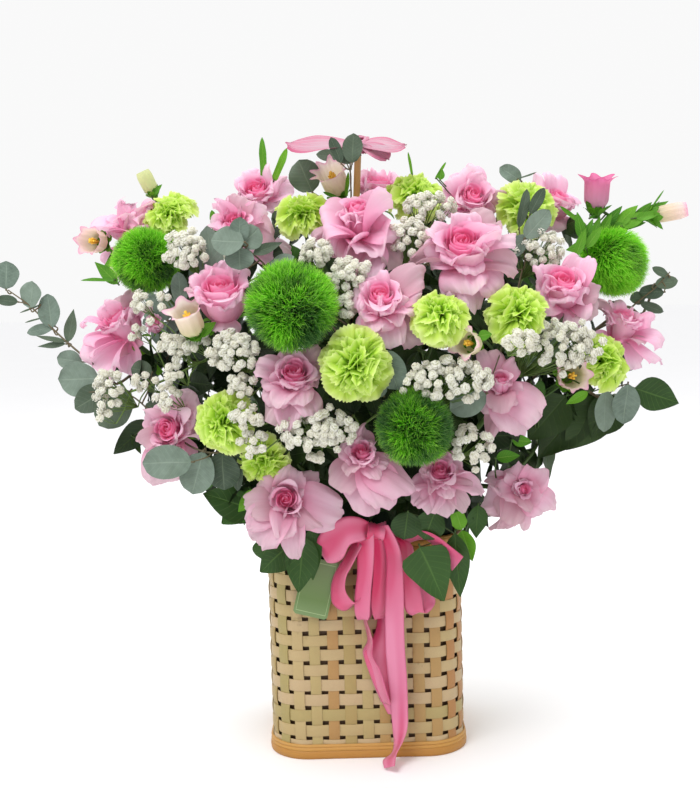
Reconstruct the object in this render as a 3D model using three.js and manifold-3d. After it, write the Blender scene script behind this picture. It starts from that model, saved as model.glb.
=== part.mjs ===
// A flower basket arrangement: a straight woven-bamboo basket with a plastic liner and a block of floral
// foam, and pink roses, lime carnations, green dianthus balls, bellflowers, baby's breath, eucalyptus and
// broad leaves whose stems are pushed into that foam. A ribbon bow and a blank tag hang at the front, and an
// orchid bloom stands on a bamboo stick.
//
// Millimetres. +X is to the viewer's right, -Y is the front, +Z is up. The origin is on the floor, under the
// middle of the basket. Each bloom or spray is one solid, because its heads, leaves and stem grew as one.

import * as THREE from "three";
import { mergeVertices } from "three/addons/utils/BufferGeometryUtils.js";
import Module from "manifold-3d";

const wasm = await Module();
wasm.setup();

// ---------------------------------------------------------------- driving dimensions

const GAP = 0.35; // clearance between pieces that touch

const BASKET = { width: 196, depth: 166, corner: 40, bottom: 3, top: 217, wall: 3 };
const BAND = { thick: 2.2, bottom: 0, top: 14 };
const RIM = { thick: 3, bottom: 205, top: 220 };
const FLOOR = { bottom: 0, top: 4 };
const LINER = { inset: 6, wall: 1.4, top: 200 };
const FOAM = { inset: 7.8, top: 258, plantDepth: 40, edge: 15 };

const RIBBON = { width: 24, thick: 1.2 };
const KNOT = { halfWidth: 17, halfDepth: 8, halfHeight: 10 };
const PICK = { radius: 1.2, plantDepth: 60 };
const TAG = { width: 34, height: 58, thick: 0.6, lean: 14 };
const STICK = { radius: 3.2 };
const ORCHID = { halfWidth: 58, halfDepth: 40, halfHeight: 8 };

// The stem radius of each kind of plant, and the outline of its head as fractions of the head's radius:
// [distance from the axis, distance along it], from the calyx to the open face.
const KINDS = {
  rose: {
    stem: 2.6,
    sides: 8,
    outline: [[0, -1], [0.24, -0.94], [0.7, -0.5], [0.94, 0.1], [0.8, 0.5], [0, 0.8]],
    colour: 0xe58aa8,
  },
  carnation: {
    stem: 2,
    sides: 8,
    outline: [[0, -1], [0.2, -0.97], [0.3, -0.4], [0.94, 0.05], [0.8, 0.5], [0, 0.8]],
    colour: 0xb9dd4a,
  },
  ball: {
    stem: 2.2,
    sides: 8,
    outline: [[0, -1], [0.58, -0.8], [0.95, -0.3], [0.95, 0.3], [0.58, 0.8], [0, 1]],
    colour: 0x4fa02a,
  },
  bell: {
    stem: 1.6,
    sides: 8,
    outline: [[0, -1], [0.42, -0.86], [0.55, 0.1], [0.78, 0.6], [0, 0.6]],
    colour: 0xf0cfd0,
  },
  cluster: {
    stem: 1.3,
    sides: 7,
    outline: [[0, -1], [0.8, -0.55], [0.8, 0.55], [0, 1]],
    colour: 0xf2f0e4,
  },
  // A leaf's length and width as shares of the tip's size, and how many pairs stand behind the end leaf.
  sprig: { stem: 1.6, pairs: 3, leafLength: 1.7, leafWidth: 1.5, colour: 0x6f8f7c },
  branch: { stem: 1.8, pairs: 1, leafLength: 3.2, leafWidth: 1.9, colour: 0x2f5f2c },
};
const LEAF_THICK = 2.2;

// ---------------------------------------------------------------- the photograph's viewpoint

// The eye stands in front of the basket and looks a little down. The picture is 700 x 788 pixels.
const EYE = new THREE.Vector3(-10, -1235, 474);
const PICTURE = { centreX: 350, centreY: 394, focal: 1200 };
const PITCH = THREE.MathUtils.degToRad(5.5);
const ROLL = THREE.MathUtils.degToRad(1.5);

// The point that shows at a pixel of the photograph and stands `fore` mm in front of the basket's middle.
function seen([pixelX, pixelY], fore) {
  const u = (pixelX - PICTURE.centreX) / PICTURE.focal;
  const v = (PICTURE.centreY - pixelY) / PICTURE.focal;
  const across = u * Math.cos(ROLL) + v * Math.sin(ROLL);
  const rise = v * Math.cos(ROLL) - u * Math.sin(ROLL);
  const sight = new THREE.Vector3(
    across,
    Math.cos(PITCH) + rise * Math.sin(PITCH),
    rise * Math.cos(PITCH) - Math.sin(PITCH),
  );
  return sight.multiplyScalar((-fore - EYE.y) / sight.y).add(EYE);
}

// ---------------------------------------------------------------- what is in the basket

// Name, kind, pixel of the head's middle, fore, head radius, and where the bloom faces.
const BLOOMS = [
  ["rose_01", "rose", [108, 336], 60, 33, [-0.78, -0.3, 0.5]],
  ["rose_02", "rose", [170, 436], 120, 33, [-0.5, -0.85, 0.1]],
  ["rose_03", "rose", [128, 220], 0, 26, [-0.5, -0.25, 0.85]],
  ["rose_04", "rose", [260, 184], 38, 27, [-0.3, -0.5, 0.8]],
  ["rose_05", "rose", [246, 216], 92, 30, [-0.3, -0.8, 0.5]],
  ["rose_06", "rose", [217, 292], 142, 32, [-0.15, -0.6, 0.8]],
  ["rose_07", "rose", [359, 234], 138, 38, [0, -0.65, 0.75]],
  ["rose_08", "rose", [377, 184], 38, 23, [0.05, -0.5, 0.85]],
  ["rose_09", "rose", [472, 195], 55, 33, [0.15, -0.85, 0.5]],
  ["rose_10", "rose", [463, 243], 152, 43, [0.08, -0.95, 0.3]],
  ["rose_11", "rose", [553, 194], 8, 27, [0.35, -0.6, 0.7]],
  ["rose_12", "rose", [566, 282], 128, 34, [0.45, -0.8, 0.4]],
  ["rose_13", "rose", [628, 324], 72, 33, [0.55, -0.5, 0.7]],
  ["rose_14", "rose", [387, 299], 188, 34, [-0.1, -0.8, 0.6]],
  ["rose_15", "rose", [291, 380], 186, 36, [0, -0.9, 0.42]],
  ["rose_16", "rose", [506, 388], 168, 37, [0.15, -0.82, 0.55]],
  ["rose_17", "rose", [362, 460], 176, 42, [-0.08, -0.98, 0.15]],
  ["rose_18", "rose", [288, 503], 142, 44, [-0.18, -0.97, -0.12]],
  ["rose_19", "rose", [442, 476], 152, 35, [0.08, -0.98, 0.1]],
  ["rose_20", "rose", [518, 492], 108, 36, [0.45, -0.88, -0.05]],
  ["carnation_01", "carnation", [166, 207], 28, 24, [-0.3, -0.6, 0.75]],
  ["carnation_02", "carnation", [301, 206], 98, 25, [-0.1, -0.6, 0.8]],
  ["carnation_03", "carnation", [415, 188], 84, 25, [0, -0.55, 0.85]],
  ["carnation_04", "carnation", [528, 205], 62, 24, [0.1, -0.85, 0.5]],
  ["carnation_05", "carnation", [357, 366], 214, 29, [0.02, -1, 0.08]],
  ["carnation_06", "carnation", [442, 309], 204, 24, [0.1, -0.78, 0.6]],
  ["carnation_07", "carnation", [520, 308], 178, 26, [0.1, -0.8, 0.55]],
  ["carnation_08", "carnation", [608, 357], 124, 25, [0.4, -0.85, 0.35]],
  ["carnation_09", "carnation", [218, 418], 168, 26, [-0.35, -0.85, 0.35]],
  ["carnation_10", "carnation", [261, 464], 138, 23, [-0.25, -0.93, -0.25]],
  ["green_ball_01", "ball", [146, 261], 78, 31, [-0.55, -0.7, 0.45]],
  ["green_ball_02", "ball", [291, 307], 196, 37, [-0.15, -0.9, 0.35]],
  ["green_ball_03", "ball", [613, 262], 56, 33, [0.7, -0.5, 0.45]],
  ["green_ball_04", "ball", [415, 427], 190, 32, [0.1, -0.98, -0.05]],
];

// Plants that branch. Name, kind, and for each tip its pixel, fore, size and the way it points. The first
// tip's stem stands in the foam and the others grow out of it.
const SPRAYS = [
  ["bellflower_left", "bell", [
    [[93, 241], 44, 17, [-0.4, -0.9, 0.15]],
    [[147, 181], -8, 14, [-0.4, -0.1, 0.9]],
    [[188, 318], 150, 17, [-0.25, -0.45, 0.85]],
  ]],
  ["bellflower_top", "bell", [[[333, 178], 70, 19, [-0.45, -0.35, 0.8]]]],
  ["bellflower_right", "bell", [
    [[597, 189], 42, 20, [0.1, -0.1, 1]],
    [[672, 212], 40, 17, [0.97, -0.2, 0.12]],
  ]],
  ["bellflower_front", "bell", [
    [[572, 376], 138, 15, [0.05, -0.95, 0.3]],
    [[468, 343], 194, 14, [-0.45, -0.8, -0.35]],
  ]],
  ["babys_breath_left", "cluster", [
    [[187, 250], 118, 17, [-0.5, -0.7, 0.4]],
    [[178, 366], 132, 16, [-0.6, -0.8, 0]],
    [[118, 394], 108, 17, [-0.8, -0.6, -0.1]],
    [[230, 270], -95, 20, [-0.4, 0.8, 0.4]],
  ]],
  ["babys_breath_top", "cluster", [
    [[337, 268], 172, 19, [0, -0.9, 0.4]],
    [[424, 222], 128, 19, [0, -0.8, 0.6]],
  ]],
  ["babys_breath_front", "cluster", [
    [[322, 428], 180, 20, [-0.2, -1, 0]],
    [[446, 380], 198, 21, [0, -1, 0]],
    [[232, 352], 172, 18, [-0.5, -0.8, 0.2]],
  ]],
  ["babys_breath_right", "cluster", [
    [[546, 352], 160, 20, [0.5, -0.9, 0.1]],
    [[548, 240], 98, 17, [0.4, -0.6, 0.6]],
    [[470, 270], -95, 20, [0.4, 0.8, 0.4]],
  ]],
  ["eucalyptus_left", "sprig", [
    [[8, 283], 60, 17, [-0.9, -0.2, 0.35]],
    [[84, 392], 72, 20, [-0.9, -0.3, -0.1]],
  ]],
  ["eucalyptus_top", "sprig", [
    [[330, 152], 116, 17, [-0.1, -0.1, 1]],
    [[512, 176], 40, 14, [0.1, 0, 1]],
  ]],
  ["eucalyptus_right", "sprig", [
    [[664, 276], 44, 14, [0.7, -0.2, 0.6]],
    [[628, 402], 92, 22, [0.9, -0.4, -0.1]],
  ]],
  ["eucalyptus_back", "sprig", [
    [[150, 300], -110, 20, [-0.7, 0.6, 0.3]],
    [[580, 300], -110, 20, [0.7, 0.6, 0.3]],
  ]],
  ["broad_leaves_left", "branch", [
    [[128, 436], 60, 22, [-0.8, -0.3, -0.2]],
    [[286, 566], 100, 18, [-0.15, -0.35, -0.9]],
  ]],
  ["broad_leaves_right", "branch", [
    [[655, 392], 40, 24, [0.95, -0.2, -0.1]],
    [[464, 566], 100, 20, [0.3, -0.35, -0.85]],
  ]],
  ["broad_leaves_back", "branch", [
    [[255, 420], -130, 26, [-0.4, 0.9, 0]],
    [[475, 420], -130, 26, [0.4, 0.9, 0]],
    [[365, 215], -90, 24, [0, 0.5, 0.8]],
  ]],
];

// The bow. A loop is a ring of ribbon that hangs from the knot: its length, half its depth from front to
// back, its lean from straight down and its turn about the vertical. The angles are in degrees.
const BOW = { pixel: [376, 532], fore: 112 };
const LOOPS = [
  { length: 66, halfDepth: 13, lean: -62, turn: 0 },
  { length: 88, halfDepth: 8, lean: -22, turn: 20 },
  { length: 92, halfDepth: 9, lean: -4, turn: 0 },
  { length: 90, halfDepth: 9, lean: 27, turn: -15 },
  { length: 26, halfDepth: 7, lean: 165, turn: 0 },
];

// The ribbon's ends, as [distance in front of the basket's middle, height] along the middle of each.
const TAILS = [
  {
    x: 27,
    turn: 0,
    route: [[108, 236], [107, 205], [100, 150], [94, 90], [91, 30], [94, 7], [104, 1.4], [124, 1]],
  },
  { x: 8, turn: 0, route: [[104, 232], [99, 190], [94, 130], [91, 66]] },
];
const SIDE_TAIL = { length: 84, lean: 72 };

const TAG_PLACE = { pixel: [318, 588], fore: 87.6 };
const STICK_TOP = { pixel: [358, 150], fore: 88 };
const STICK_FOOT = [-18, 8];

// ---------------------------------------------------------------- solids

const UP = new THREE.Vector3(0, 0, 1);
const { degToRad } = THREE.MathUtils;

// A closed geometry as a solid that can be joined and cut.
function solid(geometry) {
  const bare = geometry.index ? geometry.toNonIndexed() : geometry;
  const merged = mergeVertices(
    new THREE.BufferGeometry().setAttribute("position", bare.getAttribute("position")),
    1e-4,
  );
  const corners = [];
  for (let i = 0; i < merged.index.count; i += 3) {
    const [a, b, c] = merged.index.array.slice(i, i + 3);
    if (a !== b && b !== c && c !== a) corners.push(a, b, c);
  }
  return new wasm.Manifold(
    new wasm.Mesh({
      numProp: 3,
      vertProperties: merged.attributes.position.array,
      triVerts: new Uint32Array(corners),
    }),
  );
}

// A solid as a named mesh of the finished object.
function named(name, shape, colour, roughness = 0.7) {
  const made = shape.getMesh();
  const geometry = new THREE.BufferGeometry();
  geometry.setAttribute("position", new THREE.BufferAttribute(made.vertProperties, made.numProp));
  geometry.setIndex(new THREE.BufferAttribute(made.triVerts, 1));
  geometry.computeVertexNormals();
  const mesh = new THREE.Mesh(
    geometry,
    new THREE.MeshStandardMaterial({ color: colour, roughness, metalness: 0 }),
  );
  mesh.name = name;
  return mesh;
}

const joined = (shapes) => shapes.reduce((whole, next) => whole.add(next));

// The piece that is left when loose offcuts are dropped.
function largest(shape) {
  const bodies = shape.decompose();
  return bodies.reduce((best, body) => (body.volume() > best.volume() ? body : best));
}

function boxesMeet(a, b) {
  return [0, 1, 2].every((axis) => a.min[axis] <= b.max[axis] && b.min[axis] <= a.max[axis]);
}

// A shape with everything that it has to keep clear of cut away.
function cleared(shape, others) {
  const box = shape.boundingBox();
  return others
    .filter((other) => boxesMeet(box, other.boundingBox()))
    .reduce((left, other) => left.subtract(other), shape);
}

// A six-sided bar along a curve.
function bar(curve, radius, steps) {
  const section = new THREE.Shape();
  for (let i = 0; i < 6; i++) {
    const angle = (i / 6) * 2 * Math.PI;
    const corner = [radius * Math.cos(angle), radius * Math.sin(angle)];
    if (i === 0) section.moveTo(...corner);
    else section.lineTo(...corner);
  }
  return solid(new THREE.ExtrudeGeometry(section, { steps, extrudePath: curve }));
}

// ---------------------------------------------------------------- the basket and what fills it

// The basket's plan, a rectangle with round corners, `inset` mm inside its outer face.
function plan(inset, Path = THREE.Shape) {
  const halfWidth = BASKET.width / 2 - inset;
  const halfDepth = BASKET.depth / 2 - inset;
  const corner = BASKET.corner - inset;
  const path = new Path();
  path.moveTo(halfWidth, corner - halfDepth);
  path.lineTo(halfWidth, halfDepth - corner);
  path.absarc(halfWidth - corner, halfDepth - corner, corner, 0, Math.PI / 2);
  path.absarc(corner - halfWidth, halfDepth - corner, corner, Math.PI / 2, Math.PI);
  path.absarc(corner - halfWidth, corner - halfDepth, corner, Math.PI, 1.5 * Math.PI);
  path.absarc(halfWidth - corner, corner - halfDepth, corner, 1.5 * Math.PI, 2 * Math.PI);
  return path;
}

// A block of the basket's plan, or a ring where `holeInset` is given.
function block(inset, bottom, top, holeInset) {
  const shape = plan(inset);
  if (holeInset !== undefined) shape.holes.push(plan(holeInset, THREE.Path));
  const geometry = new THREE.ExtrudeGeometry(shape, {
    depth: top - bottom,
    bevelEnabled: false,
    curveSegments: 5,
  });
  return solid(geometry.translate(0, 0, bottom));
}

const linerBottom = FLOOR.top + GAP;
const foamBottom = linerBottom + LINER.wall + GAP;

function basketParts(stemHoles) {
  const liner = block(LINER.inset, linerBottom, LINER.top).subtract(
    block(LINER.inset + LINER.wall, linerBottom + LINER.wall, LINER.top + 1),
  );
  const foam = cleared(block(FOAM.inset, foamBottom, FOAM.top), stemHoles);
  return [
    named("basket_wall", block(0, BASKET.bottom, BASKET.top, BASKET.wall), 0xd8c48e),
    named("basket_base_band", block(-GAP - BAND.thick, BAND.bottom, BAND.top, -GAP), 0xc98f3f),
    named("basket_floor", block(BASKET.wall + GAP, FLOOR.bottom, FLOOR.top), 0xc9b27a),
    named("basket_rim", block(-GAP - RIM.thick, RIM.bottom, RIM.top, -GAP), 0xcfa660),
    named("basket_liner", liner, 0x202422, 0.4),
    named("floral_foam", largest(foam), 0x3f6b45, 0.95),
  ];
}

// What nothing outside the foam may reach into: the basket with its bands, and the foam above them.
const basketRoom = block(-2 * GAP - RIM.thick, -1, RIM.top + GAP).add(
  block(FOAM.inset - GAP, RIM.top, FOAM.top + GAP),
);

// How far a point is outside the basket's plan. It is negative inside.
function outsideBasket(point) {
  const x = Math.abs(point.x) - BASKET.width / 2 + BASKET.corner;
  const y = Math.abs(point.y) - BASKET.depth / 2 + BASKET.corner;
  return Math.hypot(Math.max(x, 0), Math.max(y, 0)) + Math.min(Math.max(x, y), 0) - BASKET.corner;
}

// ---------------------------------------------------------------- the bow, its pick and the tag

const knot = seen(BOW.pixel, BOW.fore);

// A shape drawn as [forward, up] becomes a band of ribbon `width` wide that faces the front. It is leaned
// and turned about the origin and then moved to `place`.
function ribbonBand(shape, width, lean, turn, place) {
  const geometry = new THREE.ExtrudeGeometry(shape, {
    depth: width,
    bevelEnabled: false,
    curveSegments: 5,
  });
  geometry.translate(0, 0, -width / 2);
  geometry.applyMatrix4(
    new THREE.Matrix4().makeBasis(
      new THREE.Vector3(0, -1, 0),
      UP,
      new THREE.Vector3(-1, 0, 0),
    ),
  );
  geometry.rotateZ(degToRad(turn));
  geometry.rotateY(degToRad(-lean));
  return solid(geometry.translate(...place));
}

// A loop is an upright ring of ribbon whose top lies in the knot.
function loop({ length, halfDepth, lean, turn }, extra) {
  const half = RIBBON.thick / 2 + extra;
  const ring = new THREE.Shape();
  ring.absellipse(0, -length / 2, halfDepth + half, length / 2 + half, 0, 2 * Math.PI);
  const hole = new THREE.Path();
  hole.absellipse(0, -length / 2, halfDepth - half, length / 2 - half, 0, 2 * Math.PI);
  ring.holes.push(hole);
  return ribbonBand(ring, RIBBON.width + 2 * extra, lean, turn, knot);
}

// A strip along the smooth curve through `points`, which are [forward, up].
function strip(points, extra) {
  const curve = new THREE.SplineCurve(points.map((point) => new THREE.Vector2(...point)));
  const half = RIBBON.thick / 2 + extra;
  const steps = points.length + 2;
  const side = (sign) =>
    Array.from({ length: steps + 1 }, (_, i) => {
      const ahead = curve.getTangent(i / steps);
      return curve
        .getPoint(i / steps)
        .add(new THREE.Vector2(-ahead.y, ahead.x).multiplyScalar(sign * half));
    });
  return new THREE.Shape([...side(1), ...side(-1).reverse()]);
}

function bow(extra = 0) {
  const middle = new THREE.SphereGeometry(1, 8, 4);
  middle.scale(KNOT.halfWidth + extra, KNOT.halfDepth + extra, KNOT.halfHeight + extra);
  middle.translate(...knot);
  const width = RIBBON.width + 2 * extra;
  const tails = TAILS.map(({ x, turn, route }) =>
    ribbonBand(strip(route, extra), width, 0, turn, [x, 0, 0]),
  );
  const side = [[0, 0], [3, -SIDE_TAIL.length / 2], [0, -SIDE_TAIL.length]];
  return joined([
    solid(middle),
    ...LOOPS.map((shape) => loop(shape, extra)),
    ...tails,
    ribbonBand(strip(side, extra), width, SIDE_TAIL.lean, 0, knot),
  ]);
}

function tag(extra = 0) {
  const card = new THREE.BoxGeometry(
    TAG.width + 2 * extra,
    TAG.thick + 2 * extra,
    TAG.height + 2 * extra,
  );
  card.rotateY(degToRad(TAG.lean));
  return solid(card.translate(...seen(TAG_PLACE.pixel, TAG_PLACE.fore)));
}

// ---------------------------------------------------------------- straight rods: the pick and the stick

const stickTop = seen(STICK_TOP.pixel, STICK_TOP.fore);
const stickFoot = new THREE.Vector3(...STICK_FOOT, FOAM.top - FOAM.plantDepth - 10);
const pickFoot = knot.clone().add(new THREE.Vector3(-6, PICK.plantDepth, 3));

const RODS = [
  { plant: "orchid_stick", curve: new THREE.LineCurve3(stickTop, stickFoot), radius: STICK.radius },
  { plant: "bow_pick", curve: new THREE.LineCurve3(knot, pickFoot), radius: PICK.radius },
];

function orchid(extra = 0) {
  const bloom = new THREE.SphereGeometry(1, 14, 6);
  bloom.scale(ORCHID.halfWidth + extra, ORCHID.halfHeight + extra, ORCHID.halfDepth + extra);
  bloom.rotateX(Math.PI / 2);
  const place = stickTop.clone().addScaledVector(UP, ORCHID.halfHeight / 2);
  return solid(bloom.translate(...place));
}

// ---------------------------------------------------------------- stems

const STEM_STEPS = 5;
const SAMPLES_PER_STEP = 7;
const STEM_CLEARANCE = 0.9;
// A stem may brush the edge of another head, which is trimmed round it, but not its core.
const HEAD_CORE = 0.72;
// A stem is tried with its foot moved this far round where it would best stand, in eight directions.
const FOOT_SHIFTS = [0, 7, 14, 21, 28, 36, 44, 54];
const FOOT_DIRECTIONS = 8;
// A branch is tried at these shares of the way down its plant's first stem.
const FORKS = [0.4, 0.5, 0.6, 0.7, 0.3, 0.8, 0.2];
const BRANCH_RADIUS = 0.85; // against the stem that it grows from
// How far a stem runs straight behind its head, as shares of the whole way.
const LEAVE_LENGTHS = [0.35, 0.2, 0.5, 0.65, 0.1];

// Where a stem would best stand: under its head, drawn in towards the middle of the foam. Low front heads
// stand near the front edge and high ones further back, so that stems fan out.
function bestFoot(head) {
  const height = THREE.MathUtils.clamp((head.z - 260) / 300, 0, 1);
  const y = head.y > 0 ? 25 + 0.2 * head.y : 0.12 * head.y - 48 + 60 * height;
  return new THREE.Vector3(0.27 * head.x, y, FOAM.top - FOAM.plantDepth);
}

const insideFoam = (foot) => outsideBasket(foot) < -FOAM.inset - FOAM.edge;

// The places where a tip's stem may end, each with the direction in which the stem rises from it.
function* footholds(tip, parent) {
  if (parent) {
    for (const share of FORKS) {
      const foot = parent.getPointAt(share);
      const rise = tip.centre.clone().sub(foot).normalize().sub(parent.getTangentAt(share));
      yield { foot, rise: rise.normalize() };
    }
    return;
  }
  const best = bestFoot(tip.centre);
  for (const shift of FOOT_SHIFTS)
    for (let turn = 0; turn < (shift ? FOOT_DIRECTIONS : 1); turn++) {
      const angle = (turn / FOOT_DIRECTIONS) * 2 * Math.PI;
      const step = new THREE.Vector3(Math.cos(angle), Math.sin(angle), 0);
      const foot = best.clone().addScaledVector(step, shift);
      if (insideFoam(foot)) yield { foot, rise: UP };
    }
}

function stemCurve(tip, { foot, rise }, leave) {
  const start = tip.centre.clone().addScaledVector(tip.facing, 3 - tip.radius);
  const reach = start.distanceTo(foot);
  return new THREE.CubicBezierCurve3(
    start,
    start.clone().addScaledVector(tip.facing, -leave * reach),
    foot.clone().addScaledVector(rise, 0.3 * reach),
    foot,
  );
}

// The straight runs that a bar along this curve is made of.
function runsOf(curve) {
  const points = curve.getSpacedPoints(STEM_STEPS);
  return points.slice(1).map((point, i) => new THREE.Line3(points[i], point));
}

function samplesOf(runs) {
  return runs.flatMap((run) =>
    Array.from({ length: SAMPLES_PER_STEP + 1 }, (_, i) =>
      run.at(i / SAMPLES_PER_STEP, new THREE.Vector3()),
    ),
  );
}

// Whether a stem that passes a point would cut into the rim or the wall.
function meetsBasket(point, radius) {
  const out = outsideBasket(point);
  const low = point.z - radius < RIM.top + STEM_CLEARANCE;
  return low && out + radius > -FOAM.inset && out - radius < RIM.thick + GAP + STEM_CLEARANCE;
}

const nearest = new THREE.Vector3();

// Whether a stem keeps clear of the basket, of every other plant's heads and of the stems already standing.
function hasRoom(runs, tip, stems) {
  const points = samplesOf(runs);
  const free = (point) =>
    !meetsBasket(point, tip.stem) &&
    heads.every(
      (head) =>
        head.plant === tip.plant ||
        point.distanceTo(head.centre) > HEAD_CORE * head.radius + tip.stem,
    ) &&
    stems.every(
      (stem) =>
        stem.plant === tip.plant ||
        stem.runs.every((run) => {
          run.closestPointToPoint(point, true, nearest);
          return point.distanceTo(nearest) > stem.radius + tip.stem + STEM_CLEARANCE;
        }),
    );
  return points.every(free);
}

// A stem from a tip to the foam, or to its plant's first stem, that runs clear of everything else.
function growStem(tip, parent, stems) {
  for (const foothold of footholds(tip, parent))
    for (const leave of LEAVE_LENGTHS) {
      const curve = stemCurve(tip, foothold, leave);
      const runs = runsOf(curve);
      if (!hasRoom(runs, tip, stems)) continue;
      const radius = parent ? BRANCH_RADIUS * tip.stem : tip.stem;
      return { plant: tip.plant, curve, runs, radius };
    }
  throw new Error(`there is no room for the stem of ${tip.plant}`);
}

// ---------------------------------------------------------------- heads and leaves

// A head turned to its facing, `extra` mm bigger all round.
function head(tip, extra = 0) {
  const { outline, sides } = KINDS[tip.kind];
  const scale = tip.radius + extra;
  const profile = outline.map(([out, along]) => new THREE.Vector2(out * scale, along * scale));
  const geometry = new THREE.LatheGeometry(profile, sides);
  geometry.applyQuaternion(
    new THREE.Quaternion().setFromUnitVectors(new THREE.Vector3(0, 1, 0), tip.facing),
  );
  return solid(geometry.translate(...tip.centre));
}

// A flat six-sided leaf that starts at `from`, points along `along` and faces `face`.
function leaf(from, along, face, length, width, extra) {
  const geometry = new THREE.SphereGeometry(1, 6, 2);
  geometry.scale(width / 2 + extra, length / 2 + extra, LEAF_THICK / 2 + extra);
  const ahead = along.clone().normalize();
  const side = new THREE.Vector3().crossVectors(ahead, face).normalize();
  const normal = new THREE.Vector3().crossVectors(side, ahead);
  geometry.applyMatrix4(new THREE.Matrix4().makeBasis(side, ahead, normal));
  return solid(geometry.translate(...from.clone().addScaledVector(ahead, length / 2 - 2)));
}

// The end leaf of a sprig or branch, with pairs of leaves down its stem. Leaves face away from the basket.
function leaves(tip, curve, extra = 0) {
  const { pairs, leafLength, leafWidth } = KINDS[tip.kind];
  const length = leafLength * tip.radius;
  const width = leafWidth * tip.radius;
  const face = new THREE.Vector3(0.3 * tip.centre.x, tip.centre.y, 60).normalize();
  const made = [leaf(curve.getPoint(0), tip.facing, face, length, width, extra)];
  for (let pair = 0; pair < pairs; pair++) {
    const share = 0.12 + 0.16 * pair;
    const back = curve.getTangentAt(share).negate();
    const side = new THREE.Vector3().crossVectors(back, face).normalize();
    for (const hand of [-1, 1]) {
      const along = back.clone().multiplyScalar(0.5).addScaledVector(side, hand);
      along.addScaledVector(face, 0.15 + 0.12 * hand);
      made.push(leaf(curve.getPointAt(share), along, face, length, width, extra));
    }
  }
  return made;
}

const foliage = (tip, stem, extra) =>
  "pairs" in KINDS[tip.kind] ? leaves(tip, stem.curve, extra) : [head(tip, extra)];

// ---------------------------------------------------------------- growing the plants

function tipOf(plant, kind, [pixel, fore, radius, facing]) {
  return {
    plant,
    kind,
    centre: seen(pixel, fore),
    radius,
    stem: KINDS[kind].stem,
    facing: new THREE.Vector3(...facing).normalize(),
  };
}

const plants = [
  ...BLOOMS.map(([name, kind, ...where]) => ({ name, kind, tips: [tipOf(name, kind, where)] })),
  ...SPRAYS.map(([name, kind, tips]) => ({
    name,
    kind,
    tips: tips.map((where) => tipOf(name, kind, where)),
  })),
];

const heads = plants.flatMap(({ tips }) => tips).filter((tip) => "outline" in KINDS[tip.kind]);

const rods = RODS.map((rod) => ({ ...rod, runs: runsOf(rod.curve) }));
const stems = [...rods];
for (const plant of plants) {
  plant.grown = [];
  for (const tip of plant.tips) {
    const stem = growStem(tip, plant.grown[0]?.stem.curve, stems);
    stems.push(stem);
    plant.grown.push({ tip, stem });
  }
}

const stemHoles = new Map(stems.map((stem) => [stem, bar(stem.curve, stem.radius + GAP, STEM_STEPS)]));

// A plant's stems, with its heads or leaves trimmed where they would run into what is already there.
function plantSolid({ name, grown }, taken) {
  const others = stems.filter((stem) => stem.plant !== name).map((stem) => stemHoles.get(stem));
  const limbs = grown.flatMap(({ tip, stem }) => [
    bar(stem.curve, stem.radius, STEM_STEPS),
    ...foliage(tip, stem).map((shape) => cleared(shape, [...taken, ...others])),
  ]);
  return largest(joined(limbs));
}

// ---------------------------------------------------------------- the finished object

const group = new THREE.Group();
group.add(...basketParts([...stemHoles.values()]));

const pickRoom = stemHoles.get(rods[1]);
group.add(
  named("ribbon_bow", bow().subtract(pickRoom), 0xe4609a, 0.35),
  named("tag_card", tag().subtract(bow(GAP)), 0x5f8a48),
  named("orchid_bloom", orchid().subtract(stemHoles.get(rods[0])), 0xe58fb5),
);
for (const rod of rods)
  group.add(named(rod.plant, bar(rod.curve, rod.radius, 1), 0xc79a5b));

const taken = [basketRoom, bow(GAP), tag(GAP), orchid(GAP)];
for (const plant of plants) {
  const { colour } = KINDS[plant.kind];
  group.add(named(plant.name, plantSolid(plant, taken), colour));
  for (const { tip, stem } of plant.grown) taken.push(...foliage(tip, stem, GAP));
}

export default group;
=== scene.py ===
from math import cos, pi, radians, sin

import bpy
import numpy as np
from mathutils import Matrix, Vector


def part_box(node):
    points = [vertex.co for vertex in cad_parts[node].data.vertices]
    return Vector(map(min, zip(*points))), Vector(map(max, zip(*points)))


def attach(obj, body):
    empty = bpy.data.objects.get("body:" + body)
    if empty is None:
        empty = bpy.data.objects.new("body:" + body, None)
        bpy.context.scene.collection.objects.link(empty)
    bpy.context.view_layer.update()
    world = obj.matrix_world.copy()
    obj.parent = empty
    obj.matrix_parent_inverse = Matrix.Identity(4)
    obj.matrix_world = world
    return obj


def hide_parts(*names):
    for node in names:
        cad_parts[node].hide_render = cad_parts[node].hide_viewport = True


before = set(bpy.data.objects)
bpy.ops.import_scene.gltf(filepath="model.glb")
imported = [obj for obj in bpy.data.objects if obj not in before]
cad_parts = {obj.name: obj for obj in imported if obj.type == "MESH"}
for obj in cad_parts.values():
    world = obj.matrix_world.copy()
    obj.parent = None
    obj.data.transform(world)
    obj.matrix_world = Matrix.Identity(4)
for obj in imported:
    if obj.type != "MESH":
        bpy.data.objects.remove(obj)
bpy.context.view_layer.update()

# Metres. +X is to the viewer's right, -Y is the front, +Z is up. Each plant of the frame is replaced by one
# piece that holds its petals, leaves and stem. Every random draw comes from a generator seeded by a name.

MM = 0.001

# ---------------------------------------------------------------- camera and the photograph's viewpoint

EYE = np.array([-0.010, -1.235, 0.474])
FOCAL = 1200.0  # pixels of the 700 x 788 picture
PICTURE = (700, 788)
PITCH = radians(5.5)
ROLL = radians(1.5)
SENSOR = 36.0  # mm, along the picture's long side


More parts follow.
